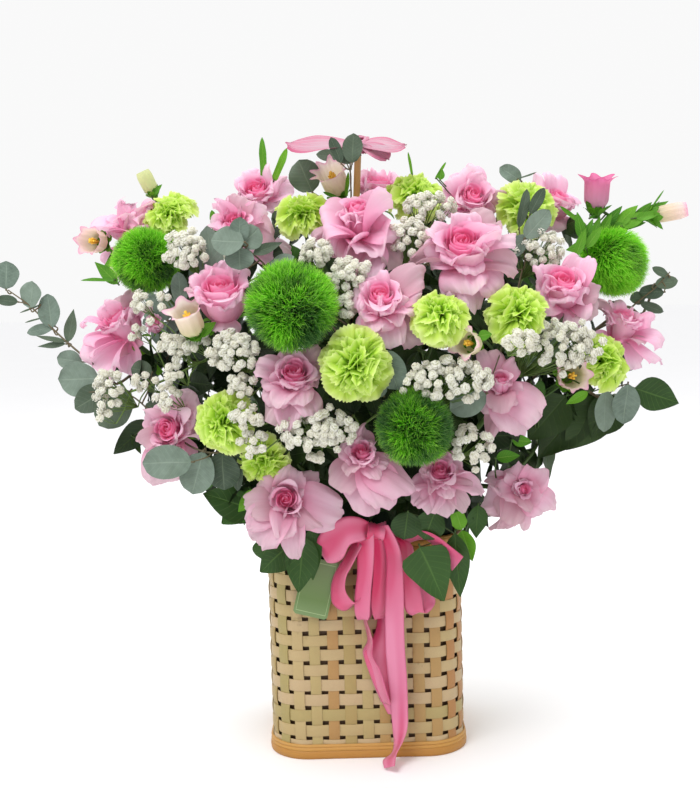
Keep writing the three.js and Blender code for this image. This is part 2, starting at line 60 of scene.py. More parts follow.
def make_camera():
    data = bpy.data.cameras.new("camera")
    data.sensor_width = SENSOR
    data.lens = FOCAL / PICTURE[1] * SENSOR
    data.clip_start = 0.05
    camera = bpy.data.objects.new("camera", data)
    camera.location = EYE
    sight = Vector((0, cos(PITCH), -sin(PITCH)))
    turn = sight.to_track_quat("-Z", "Y")
    camera.rotation_euler = turn.to_euler()
    camera.rotation_euler.rotate_axis("Z", -ROLL)
    bpy.context.scene.collection.objects.link(camera)
    bpy.context.scene.camera = camera


def seen(pixel, fore):
    """The point that shows at a pixel of the photograph and stands `fore` mm in front of the middle."""
    u = (pixel[0] - PICTURE[0] / 2) / FOCAL
    v = (PICTURE[1] / 2 - pixel[1]) / FOCAL
    across = u * cos(ROLL) + v * sin(ROLL)
    rise = v * cos(ROLL) - u * sin(ROLL)
    sight = np.array([
        across,
        cos(PITCH) + rise * sin(PITCH),
        rise * cos(PITCH) - sin(PITCH),
    ])
    return EYE + sight * ((-fore * MM - EYE[1]) / sight[1])


make_camera()

# ---------------------------------------------------------------- what is in the basket

# A name's front part is the kind of plant. Then: pixel of the head's middle, fore in mm, head radius in mm,
# and where the bloom faces.
BLOOMS = {
    "rose_01": ((108, 336), 60, 33, (-0.78, -0.3, 0.5)),
    "rose_02": ((170, 436), 120, 33, (-0.5, -0.85, 0.1)),
    "rose_03": ((128, 220), 0, 26, (-0.5, -0.25, 0.85)),
    "rose_04": ((260, 184), 38, 27, (-0.3, -0.5, 0.8)),
    "rose_05": ((246, 216), 92, 30, (-0.3, -0.8, 0.5)),
    "rose_06": ((217, 292), 142, 32, (-0.15, -0.6, 0.8)),
    "rose_07": ((359, 234), 138, 38, (0, -0.65, 0.75)),
    "rose_08": ((377, 184), 38, 23, (0.05, -0.5, 0.85)),
    "rose_09": ((472, 195), 55, 33, (0.15, -0.85, 0.5)),
    "rose_10": ((463, 243), 152, 43, (0.08, -0.95, 0.3)),
    "rose_11": ((553, 194), 8, 27, (0.35, -0.6, 0.7)),
    "rose_12": ((566, 282), 128, 34, (0.45, -0.8, 0.4)),
    "rose_13": ((628, 324), 72, 33, (0.55, -0.5, 0.7)),
    "rose_14": ((387, 299), 188, 34, (-0.1, -0.8, 0.6)),
    "rose_15": ((291, 380), 186, 36, (0, -0.9, 0.42)),
    "rose_16": ((506, 388), 168, 37, (0.15, -0.82, 0.55)),
    "rose_17": ((362, 460), 176, 42, (-0.08, -0.98, 0.15)),
    "rose_18": ((288, 503), 142, 44, (-0.18, -0.97, -0.12)),
    "rose_19": ((442, 476), 152, 35, (0.08, -0.98, 0.1)),
    "rose_20": ((518, 492), 108, 36, (0.45, -0.88, -0.05)),
    "carnation_01": ((166, 207), 28, 24, (-0.3, -0.6, 0.75)),
    "carnation_02": ((301, 206), 98, 25, (-0.1, -0.6, 0.8)),
    "carnation_03": ((415, 188), 84, 25, (0, -0.55, 0.85)),
    "carnation_04": ((528, 205), 62, 24, (0.1, -0.85, 0.5)),
    "carnation_05": ((357, 366), 214, 29, (0.02, -1, 0.08)),
    "carnation_06": ((442, 309), 204, 24, (0.1, -0.78, 0.6)),
    "carnation_07": ((520, 308), 178, 26, (0.1, -0.8, 0.55)),
    "carnation_08": ((608, 357), 124, 25, (0.4, -0.85, 0.35)),
    "carnation_09": ((218, 418), 168, 26, (-0.35, -0.85, 0.35)),
    "carnation_10": ((261, 464), 138, 23, (-0.25, -0.93, -0.25)),
    "green_ball_01": ((146, 261), 78, 31, (-0.55, -0.7, 0.45)),
    "green_ball_02": ((291, 307), 196, 37, (-0.15, -0.9, 0.35)),
    "green_ball_03": ((613, 262), 56, 33, (0.7, -0.5, 0.45)),
    "green_ball_04": ((415, 427), 190, 32, (0.1, -0.98, -0.05)),
}

# Plants that branch: for each tip its pixel, fore, size and the way it points.
SPRAYS = {
    "bellflower_left": [
        ((93, 241), 44, 17, (-0.4, -0.9, 0.15)),
        ((147, 181), -8, 14, (-0.4, -0.1, 0.9)),
        ((188, 318), 150, 17, (-0.25, -0.45, 0.85)),
    ],
    "bellflower_top": [
        ((333, 178), 70, 19, (-0.45, -0.35, 0.8)),
    ],
    "bellflower_right": [
        ((597, 189), 42, 20, (0.1, -0.1, 1)),
        ((672, 212), 40, 17, (0.97, -0.2, 0.12)),
    ],
    "bellflower_front": [
        ((572, 376), 138, 15, (0.05, -0.95, 0.3)),
        ((468, 343), 194, 14, (-0.45, -0.8, -0.35)),
    ],
    "babys_breath_left": [
        ((187, 250), 118, 17, (-0.5, -0.7, 0.4)),
        ((178, 366), 132, 16, (-0.6, -0.8, 0)),
        ((118, 394), 108, 17, (-0.8, -0.6, -0.1)),
        ((230, 270), -95, 20, (-0.4, 0.8, 0.4)),
    ],
    "babys_breath_top": [
        ((337, 268), 172, 19, (0, -0.9, 0.4)),
        ((424, 222), 128, 19, (0, -0.8, 0.6)),
    ],
    "babys_breath_front": [
        ((322, 428), 180, 20, (-0.2, -1, 0)),
        ((446, 380), 198, 21, (0, -1, 0)),
        ((232, 352), 172, 18, (-0.5, -0.8, 0.2)),
    ],
    "babys_breath_right": [
        ((546, 352), 160, 20, (0.5, -0.9, 0.1)),
        ((548, 240), 98, 17, (0.4, -0.6, 0.6)),
        ((470, 270), -95, 20, (0.4, 0.8, 0.4)),
    ],
    "eucalyptus_left": [
        ((8, 283), 60, 17, (-0.9, -0.2, 0.35)),
        ((84, 392), 72, 20, (-0.9, -0.3, -0.1)),
    ],
    "eucalyptus_top": [
        ((330, 152), 116, 17, (-0.1, -0.1, 1)),
        ((512, 176), 40, 14, (0.1, 0, 1)),
    ],
    "eucalyptus_right": [
        ((664, 276), 44, 14, (0.7, -0.2, 0.6)),
        ((628, 402), 92, 22, (0.9, -0.4, -0.1)),
    ],
    "eucalyptus_back": [
        ((150, 300), -110, 20, (-0.7, 0.6, 0.3)),
        ((580, 300), -110, 20, (0.7, 0.6, 0.3)),
    ],
    "broad_leaves_left": [
        ((128, 436), 60, 22, (-0.8, -0.3, -0.2)),
        ((286, 566), 100, 18, (-0.15, -0.35, -0.9)),
    ],
    "broad_leaves_right": [
        ((655, 392), 40, 24, (0.95, -0.2, -0.1)),
        ((464, 566), 100, 20, (0.3, -0.35, -0.85)),
    ],
    "broad_leaves_back": [
        ((255, 420), -130, 26, (-0.4, 0.9, 0)),
        ((475, 420), -130, 26, (0.4, 0.9, 0)),
        ((365, 215), -90, 24, (0, 0.5, 0.8)),
    ],
}

UP = np.array([0.0, 0.0, 1.0])
GOLDEN = pi * (3 - 5**0.5)  # the turn from one seed to the next that spreads them evenly over a ball


def unit(vector):
    vector = np.asarray(vector, float)
    return vector / np.linalg.norm(vector)


def units(vectors):
    return vectors / np.linalg.norm(vectors, axis=-1, keepdims=True)


def random_for(name):
    return np.random.default_rng([ord(letter) for letter in name])


def lattice(rows, columns):
    """Shares down the rows, 0 to 1, and across the columns, -1 to 1, as arrays that fit each other."""
    return np.linspace(0, 1, rows)[:, None], np.linspace(-1, 1, columns)[None, :]


def past(v, start):
    """How far v has gone from start to 1, as a share."""
    return np.maximum(v - start, 0) / (1 - start)


def swelling(v, end, power):
    """A rise from 0 to 1 that slows down and ends where v is `end`."""
    return np.sin(np.minimum(v / end, 1) * pi / 2) ** power


def nearest(points, place):
    """The one of the points that lies nearest to a place."""
    return points[np.argmin(np.linalg.norm(points - place, axis=1))]


def spin_matrix(spin):
    """The matrix that turns a petal about its bloom's axis."""
    return np.array([[cos(spin), sin(spin), 0], [-sin(spin), cos(spin), 0], [0, 0, 1]])


# ---------------------------------------------------------------- meshes

class Surface:
    """Grids of quads that become one mesh. Each vertex keeps `leaf`: where it is across and along its petal
    or leaf, and that petal's tone."""

    def __init__(self):
        self.points = []
        self.quads = []
        self.leaf = []
        self.slots = []
        self.count = 0

    def grids(self, points, slot=0, across=None, along=None, tone=0.5, closed=False):
        """points holds grids of one size: grids by rows by columns by 3. tone is one number, or an array that
        fits. A closed grid joins its last column to its first."""
        many, rows, columns = points.shape[:3]
        leaf = np.empty((many, rows, columns, 3))
        leaf[..., 0] = np.linspace(-1, 1, columns) if across is None else across
        leaf[..., 1] = np.linspace(0, 1, rows)[:, None] if along is None else along
        leaf[..., 2] = tone
        index = self.count + np.arange(many * rows * columns).reshape(many, rows, columns)
        right = np.roll(index, -1, axis=2)
        if not closed:
            index, right = index[..., :-1], right[..., :-1]
        quads = np.stack([index[:, :-1], right[:, :-1], right[:, 1:], index[:, 1:]], axis=-1).reshape(-1, 4)
        self.points.append(points.reshape(-1, 3))
        self.leaf.append(leaf.reshape(-1, 3))
        self.quads.append(quads)
        self.slots.append(np.full(len(quads), slot))
        self.count += many * rows * columns

    def grid(self, points, slot=0, **facts):
        self.grids(points[None], slot, **facts)

    def piece(self, name, materials):
        mesh = bpy.data.meshes.new(name)
        points = np.concatenate(self.points)
        mesh.from_pydata(points.tolist(), [], np.concatenate(self.quads).tolist())
        attribute = mesh.attributes.new("leaf", "FLOAT_VECTOR", "POINT")
        attribute.data.foreach_set("vector", np.concatenate(self.leaf).astype("f").ravel())
        for material in materials:
            mesh.materials.append(material)
        mesh.polygons.foreach_set("material_index", np.concatenate(self.slots).astype("i"))
        mesh.polygons.foreach_set("use_smooth", [True] * len(mesh.polygons))
        mesh.update()
        piece = bpy.data.objects.new(name, mesh)
        bpy.context.scene.collection.objects.link(piece)
        return piece


def finish_piece(piece, node):
    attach(piece, "root")
    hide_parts(node)
    return piece


def axes_for(facing, spin=0.0):
    """A 3 x 3 matrix whose rows are the side, top and facing directions of something that faces that way."""
    ahead = unit(facing)
    side = np.cross(UP, ahead)
    if np.linalg.norm(side) < 0.05:
        side = np.array([1.0, 0.0, 0.0])
    side = unit(side)
    top = np.cross(ahead, side)
    return np.array([
        cos(spin) * side + sin(spin) * top,
        cos(spin) * top - sin(spin) * side,
        ahead,
    ])


def tube(surface, path, radii, slot, sides=8):
    """A round tube along a list of points, closed at both ends."""
    path = np.asarray(path, float)
    ahead = units(np.gradient(path, axis=0))
    guide = np.array([0.3, 0.9, 0.1]) if abs(ahead[0][0]) > 0.8 else np.array([0.95, 0.1, 0.2])
    side = np.empty_like(path)
    for i, direction in enumerate(ahead):
        guide = unit(guide - direction * guide.dot(direction))
        side[i] = guide
    top = np.cross(ahead, side)
    angles = np.linspace(0, 2 * pi, sides, endpoint=False)
    radii = np.broadcast_to(radii, len(path))
    ring = np.cos(angles)[None, :, None] * side[:, None] + np.sin(angles)[None, :, None] * top[:, None]
    points = path[:, None] + ring * radii[:, None, None]
    points = np.concatenate([
        np.repeat(path[:1, None], sides, axis=1),
        points,
        np.repeat(path[-1:, None], sides, axis=1),
    ])
    surface.grid(points, slot, closed=True)


def smooth_path(points, steps):
    """A Catmull-Rom curve through the points, with `steps` samples."""
    points = np.asarray(points, float)
    padded = np.vstack([2 * points[0] - points[1], points, 2 * points[-1] - points[-2]])
    places = np.linspace(0, len(points) - 1 - 1e-9, steps)
    spans = places.astype(int)
    t = (places - spans)[:, None]
    a, b, c, d = (padded[spans + k] for k in range(4))
    return 0.5 * (2 * b + (c - a) * t + (2 * a - 5 * b + 4 * c - d) * t**2 + (3 * b - a - 3 * c + d) * t**3)


# ---------------------------------------------------------------- stems, followed through the frame

FOAM_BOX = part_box("floral_foam")
RING = 7.5 * MM  # no less than a stem's thickness and no more than the way between two of its rings
STEM_STEPS = 26  # samples of a stem
CLEAR = 1.04  # rings of the frame that lie within this many radii of a bloom's middle belong to the bloom


def stem_graph(node, heads):
    """The rings of a plant's stems in the frame, as their middles and which of them are joined."""
    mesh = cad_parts[node].data
    points = np.array([v.co for v in mesh.vertices])
    _, first, same = np.unique(np.round(points, 6), axis=0, return_index=True, return_inverse=True)
    same = same.reshape(-1)
    points = points[first]
    free = np.ones(len(points), bool)
    for centre, radius in heads:
        free &= np.linalg.norm(points - centre, axis=1) > radius
    ring = np.full(len(points), -1)
    middles = []
    for i in np.flatnonzero(free):
        if ring[i] >= 0:
            continue
        close = free & (ring < 0) & (np.linalg.norm(points - points[i], axis=1) < RING)
        ring[close] = len(middles)
        middles.append(points[close].mean(axis=0))
    links = {i: set() for i in range(len(middles))}
    for edge in mesh.edges:
        a, b = (ring[same[v]] for v in edge.vertices)
        if a >= 0 and b >= 0 and a != b:
            links[a].add(b)
            links[b].add(a)
    return np.array(middles), links


def way_down(middles, links, start):
    """The middles on the shortest way from one ring to the lowest ring in the foam that it is joined to."""
    length = {start: 0.0}
    before = {}
    waiting = {start}
    done = set()
    while waiting:
        at = min(waiting, key=lambda i: length[i])
        waiting.discard(at)
        done.add(at)
        for other in links[at] - done:
            reach = length[at] + np.linalg.norm(middles[at] - middles[other])
            if reach < length.get(other, 1e9):
                length[other] = reach
                before[other] = at
                waiting.add(other)
    low, high = (np.array(corner[:2]) for corner in FOAM_BOX)
    inside = [i for i in done if np.all(middles[i][:2] > low) and np.all(middles[i][:2] < high)]
    at = min(inside or done, key=lambda i: middles[i][2])
    way = [at]
    while at != start:
        at = before[at]
        way.append(at)
    return [middles[i] for i in reversed(way)]


def stem_paths(node, tips):
    """For each tip of a plant, the smooth path from behind the tip down into the foam."""
    middles, links = stem_graph(node, [(tip["centre"], CLEAR * tip["radius"]) for tip in tips])
    paths = []
    for tip in tips:
        back = tip["centre"] - tip["facing"] * (tip["radius"] - 3 * MM)
        start = int(np.argmin(np.linalg.norm(middles - back, axis=1)))
        way = way_down(middles, links, start)
        kept = [back]
        for point in way:
            if np.linalg.norm(point - kept[-1]) > 9 * MM:
                kept.append(point)
        paths.append(smooth_path(kept, STEM_STEPS))
    return paths


def tip_of(pixel, fore, radius, facing):
    return {"centre": seen(pixel, fore), "radius": radius * MM, "facing": unit(facing)}


# ---------------------------------------------------------------- materials

class Nodes:
    """A material with a short way to add nodes and link them."""

    def __init__(self, name):
        self.material = bpy.data.materials.new(name)
        self.material.use_nodes = True
        self.tree = self.material.node_tree
        self.tree.nodes.clear()

    def add(self, kind, settings=None, **inputs):
        """An input goes by its name, or by i and its number."""
        node = self.tree.nodes.new(kind)
        for key, value in (settings or {}).items():
            setattr(node, key, value)
        for key, value in inputs.items():
            socket = node.inputs[int(key[1:]) if key[1:].isdigit() else key.replace("_", " ")]
            if isinstance(value, bpy.types.NodeSocket):
                self.tree.links.new(value, socket)
            else:
                socket.default_value = value
        return node

    def math(self, operation, a, b=0.0, clamp=False):
        return self.add("ShaderNodeMath", {"operation": operation, "use_clamp": clamp}, i0=a, i1=b).outputs[0]

    def times(self, a, b):
        return self.math("MULTIPLY", a, b)

    def scaled(self, value, scale, offset):
        """scale times the value, plus the offset."""
        return self.math("ADD", self.times(value, scale), offset)

    def mix(self, factor, a, b, blend="MIX"):
        """Colour a, and where the factor is 1 colour b."""
        node = self.add("ShaderNodeMix", {"data_type": "RGBA", "blend_type": blend}, i0=factor)
        for place, value in ((6, a), (7, b)):
            if isinstance(value, bpy.types.NodeSocket):
                self.tree.links.new(value, node.inputs[place])
            else:
                node.inputs[place].default_value = colour(value)
        return node.outputs[2]

    def tint(self, base, mask, strength, other, blend="MIX"):
        """The base with a share of another colour where the mask is bright."""
        return self.mix(self.times(mask, strength), base, other, blend)

    def ramp(self, factor, stops):
        node = self.add("ShaderNodeValToRGB", Fac=factor)
        elements = node.color_ramp.elements
        while len(elements) < len(stops):
            elements.new(0.5)
        for element, (place, value) in zip(elements, stops):
            element.position = place
            element.color = colour(value)
        return node.outputs["Color"]

    def leaf(self):
        """Across, along and tone."""
        attribute = self.add("ShaderNodeAttribute", {"attribute_name": "leaf"})
        split = self.add("ShaderNodeSeparateXYZ", Vector=attribute.outputs["Vector"])
        return split.outputs

    def noise(self, scale, vector=None, detail=3.0, rough=0.55):
        vector = vector or self.add("ShaderNodeTexCoord").outputs["Object"]
        node = self.add("ShaderNodeTexNoise", Vector=vector, Scale=scale, Detail=detail, Roughness=rough)
        return node.outputs["Fac"]

    def streaks(self, across, along, wide, long, detail=3.0):
        """Noise drawn out along a leaf or petal."""
        x = self.times(across, wide)
        y = self.times(along, long)
        shift = self.noise(3.0, detail=0.0)
        vector = self.add("ShaderNodeCombineXYZ", X=x, Y=y, Z=self.times(shift, 6.0))
        return self.noise(1.0, vector.outputs[0], detail)

    def bump(self, height, strength, distance):
        return self.add("ShaderNodeBump", Height=height, Strength=strength, Distance=distance).outputs[0]

    def finish(self, base, roughness, normal=None, through=0.0, **extra):
        """through is the share of the light that shines through."""
        inputs = {"Base_Color": base, "Roughness": roughness, **extra}
        if normal is not None:
            inputs["Normal"] = normal
        surface = self.add("ShaderNodeBsdfPrincipled", **inputs).outputs[0]
        if through:
            glow = self.add("ShaderNodeBsdfTranslucent", Color=base)
            surface = self.add("ShaderNodeMixShader", i0=through, i1=surface, i2=glow.outputs[0]).outputs[0]
        out = self.add("ShaderNodeOutputMaterial")
        self.tree.links.new(surface, out.inputs["Surface"])
        return self.material


def colour(value):
    """A picture colour (0 to 1 as seen on screen) as the linear colour that shaders take."""
    return tuple(c / 12.92 if c <= 0.04045 else ((c + 0.055) / 1.055) ** 2.4 for c in value) + (1.0,)


def rose_material():
    """Pale outer petals, pinker towards the heart, with fine veins and a soft lighter edge. Some petals get a
    grey-mauve tint, as the whole part of their `along` says: on a few it is their own dusty colour, on the
    roses low in the bouquet it is painted shade."""
    n = Nodes("rose_petal")
    across, along, heart = n.leaf()[:3]
    base = n.ramp(heart, [
        (0.0, (0.99, 0.935, 0.955)),
        (0.22, (0.98, 0.84, 0.92)),
        (0.45, (0.975, 0.70, 0.835)),
        (0.70, (0.985, 0.60, 0.785)),
        (1.0, (1.0, 0.47, 0.70)),
    ])
    # Grey-mauve tint: partly the petals' own dusty colour, partly painted shade that the low roses get all
    # over.
    dusty_and_shade = n.math("FLOOR", along)
    base = n.tint(base, dusty_and_shade, 0.26, (0.70, 0.58, 0.56))
    veins = n.streaks(across, along, 9.0, 1.4)
    base = n.tint(base, veins, 0.34, (0.93, 0.64, 0.76), "MULTIPLY")
    blotch = n.noise(38.0, detail=4.0)
    base = n.tint(base, blotch, 0.30, (0.975, 0.86, 0.91))
    rough = n.scaled(veins, 0.2, 0.42)
    normal = n.bump(veins, 0.35, 0.0006)
    return n.finish(base, rough, normal, through=0.42, Specular_IOR_Level=0.35)


def carnation_material():
    """Lime, greener in the middle of the bloom and pale yellow towards the edges of its outer petals."""
    n = Nodes("carnation_petal")
    across, along, depth = n.leaf()[:3]
    outer = n.ramp(along, [
        (0.0, (0.66, 0.79, 0.17)),
        (0.5, (0.77, 0.88, 0.30)),
        (0.85, (0.86, 0.94, 0.46)),
        (1.0, (0.94, 0.98, 0.70)),
    ])
    inner = n.ramp(along, [
        (0.0, (0.46, 0.70, 0.04)),
        (0.6, (0.64, 0.85, 0.10)),
        (0.9, (0.77, 0.92, 0.24)),
        (1.0, (0.90, 0.98, 0.52)),
    ])
    base = n.mix(depth, outer, inner)
    veins = n.streaks(across, along, 14.0, 1.5)
    base = n.tint(base, veins, 0.22, (0.80, 0.90, 0.40), "MULTIPLY")
    normal = n.bump(veins, 0.4, 0.0006)
    return n.finish(base, n.scaled(veins, 0.2, 0.5), normal, through=0.40)


def ball_material():
    """Green blades, dark at their roots and yellower at their tips. Tone marks the darker tufts and the
    painted shade on the ball's underside, in its hollows and on its core.
    """
    n = Nodes("green_ball_blade")
    _, along, tone = n.leaf()[:3]
    base = n.ramp(along, [
        (0.0, (0.08, 0.26, 0.04)),
        (0.35, (0.30, 0.64, 0.08)),
        (0.70, (0.50, 0.86, 0.16)),
        (1.0, (0.72, 0.96, 0.34)),
    ])
    dark = n.ramp(along, [
        (0.0, (0.03, 0.11, 0.04)),
        (0.7, (0.17, 0.38, 0.14)),
        (1.0, (0.44, 0.62, 0.36)),
    ])
    base = n.mix(tone, base, dark)
    return n.finish(base, 0.55, through=0.42, Specular_IOR_Level=0.3)


def leaf_material(name, dark, light, vein, roughness, gloss=0.5, through=0.12, bloom=0.0):
    """A leaf with a pale midrib, side veins that curve forward, and a mottled blade."""
    n = Nodes(name)
    across, along, tone = n.leaf()[:3]
    away = n.math("ABSOLUTE", across)
    mottle = n.noise(45.0, detail=4.0)
    base = n.mix(tone, dark, light)
    base = n.tint(base, mottle, 0.45, tuple(0.72 * c for c in dark))
    # Side veins lie where along minus a share of away repeats.
    wave = n.math("SUBTRACT", along, n.times(away, 0.22))
    ripple = n.math("SINE", n.times(wave, 56.0))
    side = n.math("POWER", n.math("MAXIMUM", ripple, 0.0), 10.0)
    rib = n.math("SUBTRACT", 1.0, n.times(away, 14.0), True)
    line = n.math("MAXIMUM", n.times(side, 0.35), n.times(rib, 0.9))
    base = n.tint(base, line, 0.55, vein)
    if bloom:
        frost = n.noise(150.0, detail=2.0)
        base = n.tint(base, frost, bloom, (0.70, 0.78, 0.73))
    height = n.math("SUBTRACT", n.times(mottle, 0.3), line)
    normal = n.bump(height, 0.5, 0.0008)
    rough = n.scaled(mottle, 0.2, roughness)
    return n.finish(base, rough, normal, through=through, Specular_IOR_Level=gloss)


def stem_material(name, green, brown):
    """A stem with a fine grain and brown patches."""
    n = Nodes(name)
    grain = n.noise(90.0, detail=4.0)
    patch = n.noise(14.0, detail=2.0)
    base = n.tint(green, patch, 0.7, brown)
    base = n.tint(base, grain, 0.3, (0.85, 0.85, 0.6), "MULTIPLY")
    return n.finish(base, n.scaled(grain, 0.2, 0.5), n.bump(grain, 0.3, 0.0005))


def bell_material():
    """Cream towards the calyx and pink towards the lobes, with thin ribs. Tone says how pink a bell is."""
    n = Nodes("bellflower_petal")
    across, along, tone = n.leaf()[:3]
    pale = n.ramp(along, [
        (0.0, (0.88, 0.89, 0.66)),
        (0.5, (0.96, 0.94, 0.82)),
        (0.86, (0.985, 0.965, 0.91)),
        (1.0, (0.97, 0.76, 0.86)),
    ])
    green = n.math("LESS_THAN", tone, -0.1)
    pale = n.mix(green, pale, (0.86, 0.90, 0.68))
    pink = n.ramp(along, [
        (0.0, (0.80, 0.62, 0.72)),
        (0.5, (0.84, 0.55, 0.69)),
        (0.9, (0.87, 0.46, 0.65)),
        (1.0, (0.84, 0.38, 0.59)),
    ])
    base = n.mix(tone, pale, pink)
    veins = n.streaks(across, along, 14.0, 1.2)
    base = n.tint(base, veins, 0.22, (0.93, 0.76, 0.80), "MULTIPLY")
    return n.finish(base, 0.5, n.bump(veins, 0.35, 0.0006), through=0.45)


def floret_material():
    """White petals that are greener at their roots, some of them a little creamy."""
    n = Nodes("babys_breath_petal")
    _, along, tone = n.leaf()[:3]
    base = n.ramp(along, [
        (0.0, (0.80, 0.81, 0.68)),
        (0.5, (0.97, 0.965, 0.93)),
        (1.0, (1.0, 1.0, 0.99)),
    ])
    base = n.tint(base, tone, 0.28, (0.90, 0.87, 0.78))
    crease = n.noise(900.0, detail=2.0)
    return n.finish(base, 0.7, n.bump(crease, 0.2, 0.0002), through=0.45)


def satin_material():
    """Satin ribbon: fine cross threads, a soft sheen, pale bands along it that are painted highlights, soft
    deeper patches that are painted shade in its folds, and colour that deepens with tone, which carries
    painted shade.
    """
    n = Nodes("satin_ribbon")
    across, along, tone = n.leaf()[:3]
    # Soft deeper pink patches: painted shade in the satin's folds; the same noise also varies its roughness.
    fold = n.noise(22.0, detail=2.0)
    # Pale bands drawn out along the ribbon: painted highlights where the satin catches the light.
    painted_highlight_band = n.streaks(across, along, 0.9, 6.0, 0.0)
    pale = n.ramp(painted_highlight_band, [(0.42, (0.0, 0.0, 0.0)), (0.70, (1.0, 1.0, 1.0))])
    # Tone runs from light to deep pink; on this one dyed satin it carries painted light and shade.
    base = n.mix(tone, (0.86, 0.47, 0.62), (0.86, 0.09, 0.36))
    base = n.tint(base, fold, 0.25, (0.86, 0.30, 0.51))
    base = n.tint(base, pale, 0.50, (0.95, 0.66, 0.78))
    threads = n.math("SINE", n.times(along, 2600.0))
    weft = n.math("SINE", n.times(across, 160.0))
    cloth = n.times(n.math("ADD", threads, weft), 0.5)
    edge = n.math("GREATER_THAN", n.math("ABSOLUTE", across), 0.94)
    base = n.tint(base, edge, 0.4, (0.80, 0.30, 0.46))
    rough = n.scaled(fold, 0.15, 0.24)
    return n.finish(base, rough, n.bump(cloth, 0.15, 0.0002), through=0.22,
                    Sheen_Weight=0.2, Sheen_Roughness=0.4, Specular_IOR_Level=0.5)


def bamboo_material(name, tints, spots):
    """Split bamboo: fibres along the strip, a tint of its own for each strip, and dark stains."""
    n = Nodes(name)
    across, along, tone = n.leaf()[:3]
    x = n.times(across, 10.0)
    y = n.times(along, 30.0)
    vector = n.add("ShaderNodeCombineXYZ", X=x, Y=y, Z=n.times(tone, 40.0)).outputs[0]
    fibres = n.noise(1.0, vector, detail=5.0, rough=0.65)
    base = n.ramp(tone, [(k / (len(tints) - 1), tint) for k, tint in enumerate(tints)])
    base = n.tint(base, fibres, 0.35, tuple(0.72 * c for c in tints[-1]), "MULTIPLY")
    patch = n.noise(26.0, detail=4.0, rough=0.6)
    mark = n.ramp(patch, [(spots, (0.0, 0.0, 0.0)), (min(spots + 0.09, 1.0), (1.0, 1.0, 1.0))])
    base = n.tint(base, mark, 0.75, (0.36, 0.27, 0.14))
    normal = n.bump(fibres, 0.35, 0.0006)
    rough = n.scaled(fibres, 0.25, 0.33)
    return n.finish(base, rough, normal, Specular_IOR_Level=0.45)


def plain_material(name, base, other, scale, roughness, strength=0.3, distance=0.0006):
    """A mottled surface with a fine grain."""
    n = Nodes(name)
    grain = n.noise(scale, detail=5.0)
    mixed = n.mix(grain, base, other)
    rough = n.scaled(grain, 0.2, roughness)
    return n.finish(mixed, rough, n.bump(grain, strength, distance))


ROSE = rose_material()
CARNATION = carnation_material()
BALL = ball_material()
BELL = bell_material()
FLORET = floret_material()
SATIN = satin_material()
EUCALYPTUS = leaf_material(
    "eucalyptus_leaf", (0.27, 0.34, 0.29), (0.48, 0.54, 0.48), (0.56, 0.62, 0.55), 0.55, 0.25, 0.1, 0.3)
OLIVE = leaf_material(
    "eucalyptus_leaf_dark", (0.20, 0.27, 0.19), (0.34, 0.40, 0.31), (0.46, 0.52, 0.42), 0.50, 0.3, 0.1, 0.10)
BROAD = leaf_material(
    "broad_leaf", (0.14, 0.25, 0.08), (0.23, 0.41, 0.12), (0.36, 0.51, 0.22), 0.40, 0.35, 0.14)
ROSE_LEAF = leaf_material(
    "rose_leaf", (0.09, 0.16, 0.06), (0.19, 0.29, 0.10), (0.27, 0.36, 0.16), 0.45, 0.3, 0.12)
FRESH = leaf_material(
    "fresh_leaf", (0.26, 0.52, 0.10), (0.46, 0.72, 0.16), (0.62, 0.80, 0.34), 0.5, 0.35, 0.25)
GREEN_STEM = stem_material("green_stem", (0.20, 0.36, 0.12), (0.28, 0.30, 0.12))
FINE_STEM = stem_material("fine_stem", (0.36, 0.50, 0.20), (0.42, 0.48, 0.26))
GREY_STEM = stem_material("eucalyptus_stem", (0.36, 0.36, 0.26), (0.42, 0.30, 0.22))
POLLEN = plain_material("pollen", (0.96, 0.82, 0.34), (0.92, 0.68, 0.16), 400.0, 0.7)

# ---------------------------------------------------------------- petals and leaves

